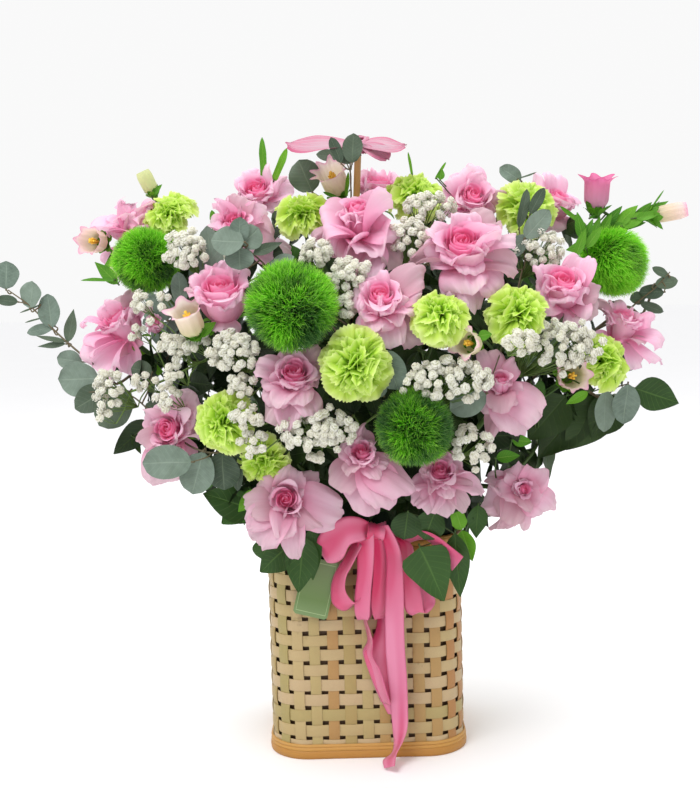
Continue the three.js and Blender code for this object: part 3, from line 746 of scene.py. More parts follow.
def petal(surface, centre, axes, spin, rng, size, start, length, slope, width, cup, roll, ruffle, tone,
          flare=0.0, sharp=0.0, blunt=0.505, point=0.0, slot=0, rows=11, columns=9):
    """One petal of a bloom that faces axes[2]. It says, in units of `size`: where it starts, how long and
    wide it is, how tightly it is cupped, how far its edges roll back, how deep its ruffles are and how far
    its tip is drawn out. slope is at root, middle and tip, in degrees from the bloom's axis. flare opens
    the cup towards the tip, and sharp and blunt shape the tip."""
    v, u = lattice(rows, columns)
    root, middle, tip = (radians(a) for a in slope)
    slope = root + (middle - root) * np.minimum(v / 0.6, 1) + (tip - middle) * past(v, 0.6)
    step = length / (rows - 1)
    out = start[0] + np.concatenate([[[0]], np.cumsum(np.sin(slope[:-1]) * step, axis=0)])
    rise = start[1] + np.concatenate([[[0]], np.cumsum(np.cos(slope[:-1]) * step, axis=0)])
    swell = swelling(v, 0.72, 0.8)
    taper = np.maximum(v - 0.5, 0) / blunt
    crown = np.maximum(1 - taper ** (2.4 - 0.7 * sharp), 0.0) ** (0.5 + 0.35 * sharp)
    half = width * (0.22 + 0.78 * swell) * np.maximum(crown, 0.05)
    s = u * half
    cup = cup * (1 + flare * v)
    lateral = cup * np.sin(s / cup)
    inward = cup * (1 - np.cos(s / cup))
    inward = inward - roll * past(np.abs(u), 0.45) ** 2 * v**1.5
    phase = rng.uniform(0, 2 * pi, 3)
    wave = np.sin(2.2 * pi * u + phase[0]) * 0.6 + np.sin(4.1 * pi * u + 3 * v + phase[1]) * 0.4
    inward = inward + ruffle * wave * v**2
    inward = inward + 0.4 * ruffle * np.sin(5 * v + phase[2]) * u
    # The point of the petal is drawn out a little at the middle of its tip.
    point = point * np.exp(-((u / 0.28) ** 2)) * past(v, 0.8)
    out = out - np.cos(slope) * inward + np.sin(slope) * point
    rise = rise + np.sin(slope) * inward + np.cos(slope) * point
    local = np.stack([out + 0 * u, lateral, rise + 0 * u], axis=-1) * size
    surface.grid(centre + local @ spin_matrix(spin) @ axes, slot, tone=tone)


def bent_petal(surface, root, tip, ahead, width, rng, tone, arch=0.30, cup=0.55, roll=1.3, curl=0.10,
               point=0.06, dusty_and_shade=0):
    """A petal from root to tip, both places in the frame. It rises along `ahead` first, then bends over to
    its tip. arch, curl and point are shares of its length: how far it bows, how far its end turns back, and
    how far a corner of its end stands out. cup and roll are angles: how its width curves inwards, and how its
    edges roll back. tone gives the tones of its root and tip. The last argument, 0, 1 or 2, gives the petal a
    grey-mauve tint: partly its own dusty colour, partly painted shade."""
    way = tip - root
    size = np.linalg.norm(way)
    rise = way.dot(ahead)
    out = way - rise * ahead
    reach = np.linalg.norm(out)
    out /= reach
    side = np.cross(ahead, out)
    columns = 25
    v, u = lattice(15, columns)
    # The end of the petal has corners, where its edge turns back.
    corners = np.array([-1.0, -0.72, -0.42, 0.0, 0.42, 0.72, 1.0]) + rng.uniform(-0.12, 0.12, 7)
    ends = np.array([0.76, 0.90, 0.96, 0.99 + point, 0.96, 0.90, 0.76]) + rng.uniform(-0.06, 0.05, 7)
    t = v * (1 - (1 - np.interp(u, corners, ends)) * v**1.5)
    knots = np.array([
        [0, 0],
        [0.22 * reach, 0.6 * rise + arch * size],
        [0.72 * reach, rise + 0.9 * arch * size],
        [reach, rise],
    ])
    weights = ((1 - t) ** 3, 3 * (1 - t) ** 2 * t, 3 * (1 - t) * t**2, t**3)
    along = sum(w[..., None] * knot for w, knot in zip(weights, knots))
    slopes = ((1 - t) ** 2, 2 * (1 - t) * t, t**2)
    tangent = sum(w[..., None] * (b - a) for w, a, b in zip(slopes, knots[:-1], knots[1:]))
    tangent /= np.linalg.norm(tangent, axis=-1)[..., None] + 1e-9
    half = 0.5 * width * (0.46 + 0.54 * swelling(v, 0.58, 0.9))
    half = half * (1 - 0.10 * past(v, 0.7))
    between = 0.5 * (u[:, 1:] + u[:, :-1])
    rolled = np.where(between > 0, roll * rng.uniform(0.3, 1.3), roll * rng.uniform(0.3, 1.3))
    edge = past(np.abs(between), 0.55) ** 0.7
    bend = cup * (1.1 - 0.7 * v) * between - rolled * v**1.2 * np.sign(between) * edge
    # Three creases, where the bend changes at once.
    for _ in range(3):
        place = rng.uniform(-0.6, 0.6) + rng.uniform(-0.5, 0.5) * v
        bend = bend + rng.uniform(-0.9, 0.9) * v**0.8 * np.tanh((between - place) / 0.05)
    step = half * (u[0, 1] - u[0, 0])
    lateral = np.concatenate([0 * v, np.cumsum(np.cos(bend) * step, axis=1)], axis=1)
    inward = np.concatenate([0 * v, np.cumsum(np.sin(bend) * step, axis=1)], axis=1)
    middle = columns // 2
    lateral -= lateral[:, middle:middle + 1]
    inward -= inward[:, middle:middle + 1]
    phase = rng.uniform(0, 2 * pi, 3)
    inward += 0.035 * width * v**2 * np.sin(2.1 * pi * u + phase[0])
    inward += 0.024 * width * v**2 * np.sin(4.3 * pi * u + 4 * v + phase[1])
    inward += 0.016 * width * v**4 * np.sin(8.7 * pi * u + phase[2])
    inward -= curl * size * past(v, 0.74) ** 2
    lateral += 0.03 * width * np.sin(4 * v + phase[2])
    plane = along + inward[..., None] * np.stack([-tangent[..., 1], tangent[..., 0]], axis=-1)
    points = root + plane[..., :1] * out + plane[..., 1:] * ahead + lateral[..., None] * side
    rim = past(np.abs(u), 0.85) + past(v, 0.93)
    shade = tone[1] + (tone[0] - tone[1]) * (1 - v) ** 1.2 + 0.16 * rim * v
    surface.grid(points, along=0.98 * v + dusty_and_shade, tone=np.clip(shade + 0 * u, 0, 1))


def wrapped(surface, centre, axes, spin, rng, radius, low, high, half_turn, lip, dip, slant, uneven, coil,
            closed, tones):
    """A petal that curls round the bloom's axis from low to high, as the petals of a rose's cup do. lip
    turns its top outwards, dip and slant lower it in the middle and at the sides, coil winds it inwards,
    and closed draws its top together. tones gives its tone at each height."""
    v, u = lattice(10, 15)
    phase = rng.uniform(0, 2 * pi, 3)
    rise = v * (1 - slant * np.abs(u) ** 2.4 - dip * np.cos(2.2 * u + phase[0]) * v)
    belly = 0.40 + 0.60 * swelling(rise, 0.60, 0.9)
    belly = belly * (1 - closed * np.maximum(rise, 0) ** 2.5)
    turned_out = lip * past(rise, 0.76) ** 2
    angle = spin + u * half_turn
    uneven = uneven * (np.sin(2 * angle + phase[1]) + 0.6 * np.sin(3 * angle + 2 * v + phase[2]))
    out = radius * (belly + coil * u + uneven * v) + turned_out * (1 + 0.6 * np.sin(3 * u + phase[2]))
    drop = 0.5 * np.abs(lip) * past(rise, 0.9) ** 2
    local = np.stack([
        out * np.cos(angle),
        out * np.sin(angle),
        low + (high - low) * rise - drop,
    ], axis=-1)
    surface.grid(centre + local @ axes, tone=np.clip(tones(v) + 0 * u, 0, 1))


def rose(surface, mouth, cup, facing, tall, petals, dusty_and_shade, rng):
    """A garden rose: a cup with a spiral heart, petals that lean on it, and outer petals that bend over and
    roll their edges back. mouth is the middle of the cup's opening and cup its radius. Each of the petals
    gives the place of its tip and its width. The argument after the petals is 0 or 1; at 1 every bent outer
    petal gets a grey-mauve tint, painted shade for a rose that sits low in the bouquet."""
    ahead = unit(facing)
    axes = axes_for(facing, rng.uniform(0, 2 * pi))
    low = -2.0 * cup * tall
    turn = rng.uniform(0, 2 * pi)
    golden = radians(137.5)
    heart = 13
    # A tall cup is a bud that closes towards its top.
    closed = 0.75 * np.clip((tall - 1.2) / 0.6, 0, 1)
    for k in range(heart):
        share = k / (heart - 1)
        wrapped(
            surface, mouth, axes, turn, rng,
            radius=cup * (0.07 + 0.66 * share**0.85),
            low=0.55 * low,
            high=cup * (-0.14 * (1 - share) ** 1.3 + rng.uniform(-0.09, 0.09)),
            half_turn=1.5 - 0.6 * share,
            lip=cup * (-0.08 + 0.16 * share**2),
            dip=rng.uniform(0, 0.06),
            slant=0.14,
            uneven=0.10 - 0.05 * share,
            coil=0.16 - 0.08 * share,
            closed=closed,
            tones=lambda v: 1.0 - 0.26 * share - 0.40 * v**10,
        )
        turn += golden + rng.uniform(-0.3, 0.3)
    for k in range(6):
        share = k / 5
        wrapped(
            surface, mouth, axes, turn, rng,
            radius=cup * (0.80 + 0.26 * share),
            low=low,
            high=cup * (0.12 - 0.16 * share + rng.uniform(-0.10, 0.10)),
            half_turn=rng.uniform(0.85, 1.15),
            lip=cup * rng.uniform(0.10, 0.46),
            dip=rng.uniform(0, 0.08),
            slant=rng.uniform(0.12, 0.30),
            uneven=0.03,
            coil=0.08,
            closed=closed,
            tones=lambda v: 0.50 - 0.22 * share - 0.20 * v**3 + 0.20 * (1 - v),
        )
        turn += golden + rng.uniform(-0.3, 0.3)
    # A bloom that shows its side keeps its petals close to the cup.
    opened = np.clip((-ahead[1] - 0.45) / 0.4, 0, 1)
    core(surface, mouth - 1.05 * cup * ahead, 0.55 * cup, along=0.5)
    base = mouth + 0.86 * low * ahead
    for k in range(8):
        angle = turn + 2.4 * k + rng.uniform(-0.3, 0.3)
        around = cos(angle) * axes[0] + sin(angle) * axes[1]
        share = k / 7
        out = (rng.uniform(1.1, 1.25) + (0.15 + 0.45 * opened) * share) * (1 - 0.7 * closed)
        down = rng.uniform(0.1, 0.4) + (0.35 + 0.5 * opened + 2.0 * closed) * share
        tip = mouth + cup * out * around - cup * down * ahead
        bent_petal(surface, base + 0.35 * cup * around, tip, ahead, rng.uniform(1.3, 1.8) * cup, rng,
                   (0.62, rng.uniform(0.06, 0.24)), arch=0.22 - 0.12 * opened, cup=1.0,
                   roll=rng.uniform(0.5, 1.4), curl=rng.uniform(0.04, 0.16), dusty_and_shade=dusty_and_shade)
    # Every fourth of these petals gets a deeper grey-mauve tint: partly its own dusty colour, partly painted
    # shade.
    for k, (tip, width) in enumerate(petals):
        around = tip - mouth
        around = unit(around - ahead * around.dot(ahead))
        bent_petal(surface, base + 0.45 * cup * around, tip, ahead, 1.12 * width, rng,
                   (0.70 + rng.uniform(-0.10, 0.10), rng.uniform(0.0, 0.14)),
                   arch=rng.uniform(0.04, 0.20), cup=rng.uniform(0.2, 0.8), roll=rng.uniform(0.6, 1.9),
                   curl=rng.uniform(0.03, 0.16), point=rng.uniform(0.0, 0.10),
                   dusty_and_shade=max(dusty_and_shade, 2 * (k % 4 == 3)))
    calyx(surface, mouth, axes, 0.42 * cup, low, 5, 0.9 * cup, rng)


def lathe(surface, centre, axes, radii, heights, slot, tone=0.5):
    """A round body about a bloom's axis."""
    angles = np.linspace(0, 2 * pi, 10, endpoint=False)
    ring = np.stack([np.cos(angles), np.sin(angles), 0 * angles], axis=-1)
    local = ring[None] * radii[:, None, None] + np.array([0, 0, 1.0]) * heights[:, None, None]
    surface.grid(centre + local @ axes, slot, tone=tone, closed=True)


def calyx(surface, centre, axes, width, low, sepals, reach, rng):
    """The green swelling under a bloom and its sepals. It uses the plant's slots 1 (stem) and 3 (fresh)."""
    heights = np.array([-0.9, -0.75, -0.3, 0.25, 0.6]) * width + low
    radii = np.array([0.25, 0.5, 0.95, 0.9, 0.3]) * width
    lathe(surface, centre, axes, radii, heights, 1)
    for k in range(sepals):
        length = reach * rng.uniform(0.8, 1.1)
        slope = (80, 110 + rng.uniform(-20, 30), 150 + rng.uniform(-30, 20))
        spin = 2 * pi * k / sepals + rng.uniform(-0.2, 0.2)
        petal(surface, centre, axes, spin, rng, 1.0, (0.7 * width, low), length, slope, 0.16 * reach,
              cup=0.5 * reach, roll=0.0, ruffle=0.01 * reach, tone=0.6, blunt=0.502, slot=3, rows=6,
              columns=3)


def carnation(surface, centre, facing, radius, rng):
    """A carnation: a crumpled middle and wide outer petals, all with ruffles and a toothed edge."""
    axes = axes_for(facing, rng.uniform(0, 2 * pi))
    low = -0.80 * radius
    v, u = lattice(9, 33)
    # Petals in a ring, slope at root and tip in degrees, length and ruffle as shares of the radius.
    rings = [
        (4, 2, 16, 0.90, 0.26), (5, 12, 36, 0.92, 0.30), (5, 24, 54, 0.96, 0.27), (5, 38, 70, 1.02, 0.22),
        (5, 54, 86, 1.08, 0.17), (5, 68, 102, 1.10, 0.14), (4, 84, 120, 1.02, 0.12),
    ]
    for ring, (count, root, tip, reaching, depth) in enumerate(rings):
        share = ring / (len(rings) - 1)
        for k in range(count):
            spin = 2 * pi * (k + 0.5 * ring) / count + rng.uniform(-0.3, 0.3)
            length = radius * (reaching + rng.uniform(-0.20, 0.14))
            saw = np.abs(((u + 1) * 8.5 + rng.uniform(0, 1)) % 1.0 - 0.5)
            reach = v * (1 - 0.16 * u**2 * v + (0.12 * saw - 0.03) * v**3)
            slope = radians(root) + (radians(tip) - radians(root)) * reach**2
            slope = slope + radians(rng.uniform(-14, 14))
            fan = radians(44 + 8 * rng.uniform(-1, 1)) * u
            phase = rng.uniform(0, 2 * pi, 2)
            swing = np.sin(1.9 * pi * u + phase[0]) + 0.5 * np.sin(4.6 * pi * u + phase[1] + 2 * v)
            ruffle = depth * radius * swing * v**1.5
            width = 0.14 + 0.86 * v**1.3
            out = length * reach * np.sin(slope) * np.cos(fan * width)
            lateral = length * reach * np.sin(fan * width) * (0.85 + 0.2 * share)
            rise = low + length * reach * np.cos(slope)
            out = out + ruffle * np.cos(slope)
            rise = rise - ruffle * np.sin(slope)
            local = np.stack([out, lateral, rise + 0.42 * radius * share * np.minimum(v / 0.4, 1)], axis=-1)
            tone = (1 - share) ** 0.8 * (1 - 0.3 * v) + 0 * u
            surface.grid(centre + local @ spin_matrix(spin) @ axes, tone=tone)
    # The long calyx tube that holds the petals.
    heights = np.array([-0.16, -0.1, 0.35, 0.5]) * radius + low
    radii = np.array([0.10, 0.2, 0.24, 0.32]) * radius
    lathe(surface, centre, axes, radii, heights, 2, 0.7)


def green_ball(surface, centre, radius, rng, sweep, dark, blades=12000):
    """A mossy dianthus head: thousands of thin blades over a core in their darkest tone, which is painted
    shade deep inside the head. Darker tufts lie among them, more of them on the underside, and blades in the
    hollows between bumps are darker than those on the bumps: the underside and the hollows are painted shade.
    sweep is the way in which they are combed, and dark shifts their tone."""
    k = np.arange(blades)
    z = 1 - 2 * (k + 0.5) / blades
    flat = np.sqrt(1 - z * z)
    out = np.stack([flat * np.cos(GOLDEN * k), flat * np.sin(GOLDEN * k), z], axis=-1)
    out = units(out + rng.normal(0, 0.05, out.shape))
    lean = rng.normal(0, 1, out.shape) + np.array(sweep)
    lean = units(lean - out * np.sum(lean * out, axis=1)[:, None])
    side = units(np.cross(out, rng.normal(0, 1, out.shape)))

    def waves(*counts):
        return sum(np.sin(out @ unit(rng.normal(0, 1, 3)) * count + rng.uniform(0, 6)) for count in counts)

    bumps = waves(5, 7, 9, 13, 17)
    # Darker tufts at random, which gather on the ball's underside as painted shade.
    patch = waves(2.3, 3.1, 4.2)
    patch = np.clip(0.9 * patch - 0.35 - 0.9 * out[:, 2], 0, 1)
    length = rng.uniform(0.90, 1.04, blades) + 0.012 * bumps - 0.06 * patch
    bend = rng.uniform(0.06, 0.20, blades) * (1 + 0.4 * np.linalg.norm(sweep))
    rows = []
    for reach, curl, wide in ((0.62, 0.0, 1.0), (0.84, 0.35, 0.9), (1.0, 1.0, 0.15)):
        middle = out * (length * reach)[:, None] + lean * (bend * curl)[:, None]
        edge = side * (wide * 0.012)
        rows.append(np.stack([middle - edge, middle + edge], axis=1))
    grids = centre + radius * np.stack(rows, axis=1)
    # Blades are darker in the hollows between bumps and lighter on the bumps, painted shade and light, and
    # darker in the tufts.
    tone = np.clip(dark - 0.18 * bumps + rng.normal(0, 0.22, blades) + 0.75 * patch, 0, 1)
    surface.grids(grids, tone=tone[:, None, None])
    # The core takes the blades' darkest tone: painted shade deep among them.
    core(surface, centre, 0.74 * radius)


def core(surface, centre, radius, tone=1.0, along=0.0):
    """A plain ball inside a bloom, which stops the eye from looking through it."""
    polar = np.linspace(0.02, pi - 0.02, 9)[:, None]
    turn = np.linspace(0, 2 * pi, 14, endpoint=False)[None, :]
    ball = np.stack([
        np.sin(polar) * np.cos(turn),
        np.sin(polar) * np.sin(turn),
        np.cos(polar) + 0 * turn,
    ], axis=-1)
    surface.grid(centre + radius * ball, along=along, tone=tone, closed=True)


def leaf_blade(surface, root, along, face, length, width, slot, rng, tone, fold=0.12, bend=0.12,
               shape="pointed", rows=10, columns=7):
    """A leaf from root: it points along `along`, shows its upper side to `face`, folds at its midrib and
    bends back towards its tip. Its shape is pointed, round, heart or strap."""
    ahead = unit(along)
    side = unit(np.cross(ahead, face))
    top = np.cross(side, ahead)
    v, u = lattice(rows, columns)
    if shape == "round":
        half = np.maximum(2 * np.sqrt(v * (1 - v)), 0.06) * (0.92 + 0.10 * np.sin(pi * v**1.3))
    elif shape == "heart":
        half = np.maximum(np.abs(np.sin(pi * v**0.50)) ** 0.80, 0.03)
    elif shape == "strap":
        half = np.maximum(np.minimum(1, 2.8 * (1 - v)) ** 0.5 * (0.8 + 0.2 * v), 0.05)
    else:
        half = np.maximum(np.abs(np.sin(pi * v**0.78)) ** 0.85 * (1 - 0.15 * v), 0.03)
    phase = rng.uniform(0, 2 * pi, 2)
    wave = 0.05 * width * np.sin(3 * pi * v + phase[0]) * u**2 * np.sign(u + 1e-9)
    lift = fold * width * np.abs(u) ** 1.4 * half - bend * length * v**2
    lift = lift + wave + 0.02 * length * np.sin(2 * pi * v + phase[1])
    stalk = 0.06 * length
    points = (
        root
        + ahead * (stalk + v * length)[..., None]
        + side * (0.5 * width * half * u)[..., None]
        + top * lift[..., None]
    )
    surface.grid(points, slot, tone=tone)
    tube(surface, [root, root + ahead * stalk * 1.3], 0.9 * MM, 1, 5)


def bell(surface, centre, facing, radius, rng, pink, open_by, lobes=5, slim=1.0):
    """A bellflower: a ribbed tube, lobes that turn back as far as open_by says or, below 0, close the bud,
    stamens inside, and a leafy calyx."""
    axes = axes_for(facing, rng.uniform(0, 2 * pi))
    v = np.linspace(0, 1, 18)[:, None]
    turn = np.linspace(0, 2 * pi, 60, endpoint=False)[None, :]
    lobe = 0.5 + 0.5 * np.cos(lobes * turn)
    body = 0.24 + 0.38 * swelling(v, 0.28, 0.8) + 0.04 * v
    lip = past(v, 0.74)
    if open_by < 0:
        wide = body * (1 + 0.75 * open_by * lip**1.4)
        rise = -1 + 1.75 * v + 0 * turn
    else:
        sharp = lobe**1.1
        wide = body + open_by * lip**1.5 * (0.06 + 0.42 * sharp)
        rise = -1 + 1.75 * v + lip * (0.26 * sharp - 0.24) - 0.10 * open_by * lip**3 * sharp
        wide = wide + 0.03 * lip * np.sin(15 * turn + rng.uniform(0, 6))
    wide = wide + 0.018 * np.cos(2 * lobes * turn) * np.minimum(v / 0.3, 1)
    wide = (wide + 0.03 * np.sin(2 * turn + rng.uniform(0, 6)) * v) * slim * radius
    local = np.stack([wide * np.cos(turn), wide * np.sin(turn), rise * radius], axis=-1)
    across = np.cos(lobes * turn)
    surface.grid(centre + local @ axes, across=across, tone=pink, closed=True)

    def at(height, out=0.0, turn=0.0):
        return centre + np.array([out * cos(turn), out * sin(turn), height]) * radius @ axes

    for turn in 2 * pi * np.arange(5) / 5:
        tube(surface, [at(-0.6, 0.06, turn), at(0.22, 0.15, turn)], [0.03 * radius, 0.06 * radius], 3, 6)
    tube(surface, [at(-0.8), at(0.40)], [0.04 * radius, 0.08 * radius], 3, 6)
    # The sepals of a bell that looks forward stand wider, clear of its tube.
    splay = 14 if facing[1] < -0.8 else 0
    for k in range(12):
        high = k % 2
        length = (0.85 - 0.15 * high) * rng.uniform(0.8, 1.2)
        slope = (58 + splay, 16 + splay + 16 * high, 30 + 45 * high + rng.uniform(-10, 25))
        spin = 2 * pi * k / 12 + rng.uniform(-0.15, 0.15)
        petal(surface, centre, axes, spin, rng, radius, (0.10 + 0.06 * high, -1.30), length, slope, 0.21,
              cup=0.6, roll=0.02, ruffle=0.02, tone=0.3 + 0.5 * high, blunt=0.502, slot=2, rows=7, columns=3)
    tube(surface, [at(-1.45), at(-1.2), at(-0.95)], np.array([0.14, 0.30, 0.36]) * radius, 2)


def floret_shape(rng):
    """The petals of one double flower of baby's breath, in units of its radius: petal, row, column, xyz."""
    v = np.array([0.0, 0.6, 1.0])[:, None]
    u = np.array([-1.0, 0.0, 1.0])[None, :]
    petals = []
    for count, slope, reach in ((3, 14, 0.92), (6, 44, 1.0), (7, 78, 1.02), (7, 112, 0.96), (5, 145, 0.85)):
        for k in range(count):
            spin = 2 * pi * (k + rng.uniform(-0.3, 0.3)) / count
            # The petals are scales of a ball: they start inside it and spread over its outside.
            a = radians(slope) + radians(rng.uniform(-10, 10)) + radians(34) * (v - 0.6)
            length = reach * rng.uniform(0.88, 1.10) * (0.45 + 0.55 * np.minimum(v / 0.6, 1))
            bow = 0.20 * np.abs(u) * v
            out = length * np.sin(a) - bow * np.sin(a)
            rise = length * np.cos(a) - bow * np.cos(a)
            lateral = 0.44 * u * (0.35 + 0.65 * v)
            local = np.stack([out, lateral + 0 * out, rise], axis=-1)
            petals.append(local @ spin_matrix(spin))
    return np.array(petals)


FLORETS = [floret_shape(np.random.default_rng(k)) for k in range(6)]


def clump(surface, paths, x, y, fore, half_width, half_height, count, rng):
    """Florets that crowd over a dome, each on a thread from a fork that leaves the nearest stem."""
    centre = seen((x, y), fore)
    scale = (-EYE[1] + centre[1]) / FOCAL
    half = np.array([half_width * scale, 11 * MM, half_height * scale])
    half[1] = min(half[1], 1.2 * max(half[0], half[2]))
    outward = unit(centre - np.array([0, 0.06, 0.20]))
    fork = centre - outward * (max(half) + 10 * MM)
    stem = np.concatenate(paths)
    start = nearest(stem, fork - 15 * MM * outward)
    middle = 0.5 * (start + fork) + 0.12 * np.linalg.norm(fork - start) * unit(rng.normal(0, 1, 3))
    tube(surface, smooth_path([start, middle, fork], 9), 0.7 * MM, 1, 5)
    for k in range(count):
        z = 1 - 1.45 * (k + 0.5) / count
        flat = np.sqrt(1 - z * z)
        spin = GOLDEN * k + rng.normal(0, 0.15)
        dome = np.array([flat * cos(spin), flat * sin(spin), z]) @ axes_for(outward)
        place = centre + dome * half * rng.uniform(0.70, 1.12) + rng.normal(0, 1.3 * MM, 3)
        look = unit(unit(place - fork) + 0.5 * dome + rng.normal(0, 0.15, 3))
        radius = rng.uniform(3.7, 4.6) * MM
        shape = FLORETS[rng.integers(len(FLORETS))]
        points = place + radius * (shape @ axes_for(look, rng.uniform(0, 6)))
        surface.grids(points, tone=rng.uniform(0, 1))
        core(surface, place, 0.55 * radius, tone=0.2, along=0.5)
        knee = fork + (place - fork) * rng.uniform(0.35, 0.55) + rng.normal(0, 1.2 * MM, 3)
        tube(surface, smooth_path([fork, knee, place - look * 2 * MM], 5), 0.35 * MM, 1, 4)


# ---------------------------------------------------------------- building the plants

def draw_stem(surface, path, radius):
    tube(surface, path, np.linspace(0.92, 1.05, len(path)) * radius, 1, 9)


def hung_leaf(surface, stems, rng, usual, x, y, tip_x, tip_y, fore, width, slot, shape=None):
    """A leaf whose base and tip show at two pixels, on a stalk from the nearest stem. fore and width are in
    mm, and usual is its shape where none is given."""
    root = seen((x, y), fore)
    along = seen((tip_x, tip_y), fore) - root
    length = np.linalg.norm(along)
    foot = nearest(stems, root - 0.3 * along)
    if np.linalg.norm(foot - root) > 1.5 * MM:
        sag = 0.5 * (foot + root) - 0.10 * along
        tube(surface, smooth_path([foot, sag, root], 8), np.linspace(0.9, 0.6, 8) * MM, 1, 5)
    face = unit([rng.uniform(-0.3, 0.3), -1.0, rng.uniform(0.0, 0.5)])
    leaf_blade(surface, root - 0.06 * along, along, face, length, width * MM, slot, rng, rng.uniform(0, 1),
               fold=rng.uniform(0.02, 0.14), bend=rng.uniform(-0.06, 0.10), shape=shape or usual, rows=12,
               columns=9)


HEADS = [(head["centre"], head["radius"]) for head in (tip_of(*where) for where in BLOOMS.values())]


def leafy(surface, path, rng, count, behind=48, outer=0.72, slot=2, size=(32, 48)):
    """Leaflets in threes along a stem, from `behind` mm below its tip. They face outwards, and fill the room
    behind the blooms without piercing them."""
    length = np.sum(np.linalg.norm(np.diff(path, axis=0), axis=1))
    inner = min(behind * MM / length, 0.5)
    for k in range(count):
        share = inner + (outer - inner) * (k + rng.uniform(0.1, 0.9)) / count
        at = max(1, int((len(path) - 1) * share))
        root = path[at]
        down = unit(path[min(at + 2, len(path) - 1)] - path[at - 1])
        outward = unit(np.array([root[0], root[1], 0.0]) + 1e-6)
        around = unit(np.cross(down, rng.normal(0, 1, 3)))
        along = unit(around - 0.25 * down + 0.2 * UP)
        stalk = root + along * rng.uniform(8, 16) * MM
        along[2] = min(along[2], (path[0][2] - 25 * MM - stalk[2]) / (size[1] * MM))
        along = unit(along)
        reach = [stalk, stalk + 0.5 * size[1] * MM * along, stalk + size[1] * MM * along]
        if any(np.linalg.norm(place - head) < 1.05 * radius for place in reach for head, radius in HEADS):
            continue
        tube(surface, [root, stalk], 0.9 * MM, 1, 5)
        face = unit(0.9 * outward - 0.5 * down + rng.normal(0, 0.25, 3))
        side = unit(np.cross(along, face))
        long = rng.uniform(*size) * MM
        tone = rng.uniform(0, 1)
        for turn, scale in ((0, 1.0), (1.0, 0.82), (-1.0, 0.82)):
            way = along * cos(turn) + side * sin(turn)
            leaf_blade(surface, stalk, way, face, long * scale, 0.66 * long * scale, slot, rng, tone,
                       rows=7, columns=5)


def sprig_leaves(surface, path, tip, rng, pairs=9):
    """Round eucalyptus leaves in pairs, smaller towards the tip."""
    size = 1.55 * tip["radius"]
    face = unit([0.3 * tip["centre"][0], tip["centre"][1], 0.06])
    leaf_blade(surface, path[0], tip["facing"], face, 0.8 * size, 0.72 * size, 0, rng,
               rng.uniform(0.3, 1), shape="round")
    for k in range(pairs):
        at = 1 + int(1.3 * k)
        back = unit(path[at - 1] - path[at + 1])
        side = unit(np.cross(back, face))
        grown = min(0.62 + 0.09 * k, 1.1)
        for hand in (-1, 1):
            along = 0.45 * back + hand * side + rng.normal(0, 0.25, 3)
            turned = unit(face + rng.normal(0, 0.35, 3))
            leaf_blade(surface, path[at], along, turned, size * grown, 0.85 * size * grown, 0, rng,
                       rng.uniform(0, 1), fold=0.06, bend=0.05, shape="round")


def branch_leaves(surface, path, tip, rng, count=7):
    """Broad pointed leaves, alternate along the branch."""
    size = 3.1 * tip["radius"]
    face = unit([0.3 * tip["centre"][0], tip["centre"][1], 0.05])
    for k in range(count):
        at = 5 + int(2.2 * k)
        back = unit(path[at - 1] - path[at + 1])
        side = unit(np.cross(back, face)) * (1 if k % 2 else -1)
        along = 0.1 * back + side + rng.normal(0, 0.3, 3) - 0.4 * UP
        turned = unit(face + rng.normal(0, 0.3, 3))
        grown = size * rng.uniform(0.75, 1.0)
        leaf_blade(surface, path[at], along, turned, grown, 0.52 * grown, 0, rng, rng.uniform(0, 1))


def collar(surface, rng, leaves=17):
    """Leaves that stand in the edge of the foam at its back and sides, and hang over the rim."""
    low, high = np.array(FOAM_BOX)
    middle, half = 0.5 * (low + high), 0.5 * (high - low)
    for k in range(leaves):
        angle = radians(-32 + 244 * (k + rng.uniform(-0.2, 0.2)) / (leaves - 1))
        way = np.array([cos(angle), sin(angle), 0.0])
        corner = np.sign(way) * np.abs(way) ** 0.5
        foot = middle + 0.80 * corner * half
        foot[2] = high[2] - 12 * MM
        root = middle + 0.94 * corner * half
        root[2] = high[2] + rng.uniform(4, 16) * MM
        tube(surface, [foot, root], 1.3 * MM, 1, 6)
        out = unit(way + rng.normal(0, 0.2, 3) * (1, 1, 0))
        along = unit(0.7 * out - rng.uniform(0.3, 0.8) * UP)
        face = unit(out + 0.6 * UP)
        long = rng.uniform(46, 66) * MM
        leaf_blade(surface, root, along, face, long, 0.62 * long, 0, rng, rng.uniform(0, 1), bend=0.2)


# For each kind of plant, its slot, the radius of its stems in mm, and its materials: those of the bloom or
# leaf, of the stem, and then of its foliage, fresh green or pollen.
PLANTS = {
    "rose": ("rose", 2.6, [ROSE, GREEN_STEM, ROSE_LEAF, FRESH]),
    "carnation": ("carnation", 2.0, [CARNATION, GREEN_STEM, FRESH, ROSE_LEAF]),
    "green_ball": ("green_ball", 2.2, [BALL, GREEN_STEM, ROSE_LEAF, FRESH]),
    "bellflower": ("bellflower", 1.6, [BELL, GREEN_STEM, FRESH, POLLEN]),
    "babys_breath": ("babys_breath", 1.2, [FLORET, FINE_STEM, ROSE_LEAF]),
    "eucalyptus": ("eucalyptus", 1.5, [EUCALYPTUS, GREY_STEM, OLIVE]),
    "broad_leaves": ("broad_leaf", 1.8, [BROAD, GREEN_STEM, FRESH, ROSE_LEAF]),
}
# For each kind of spray, the material of its dark leaflets and how many mm below the tip they start.
LEAFY = {"babys_breath": (2, 75), "eucalyptus": (2, 230), "broad_leaves": (3, 120)}
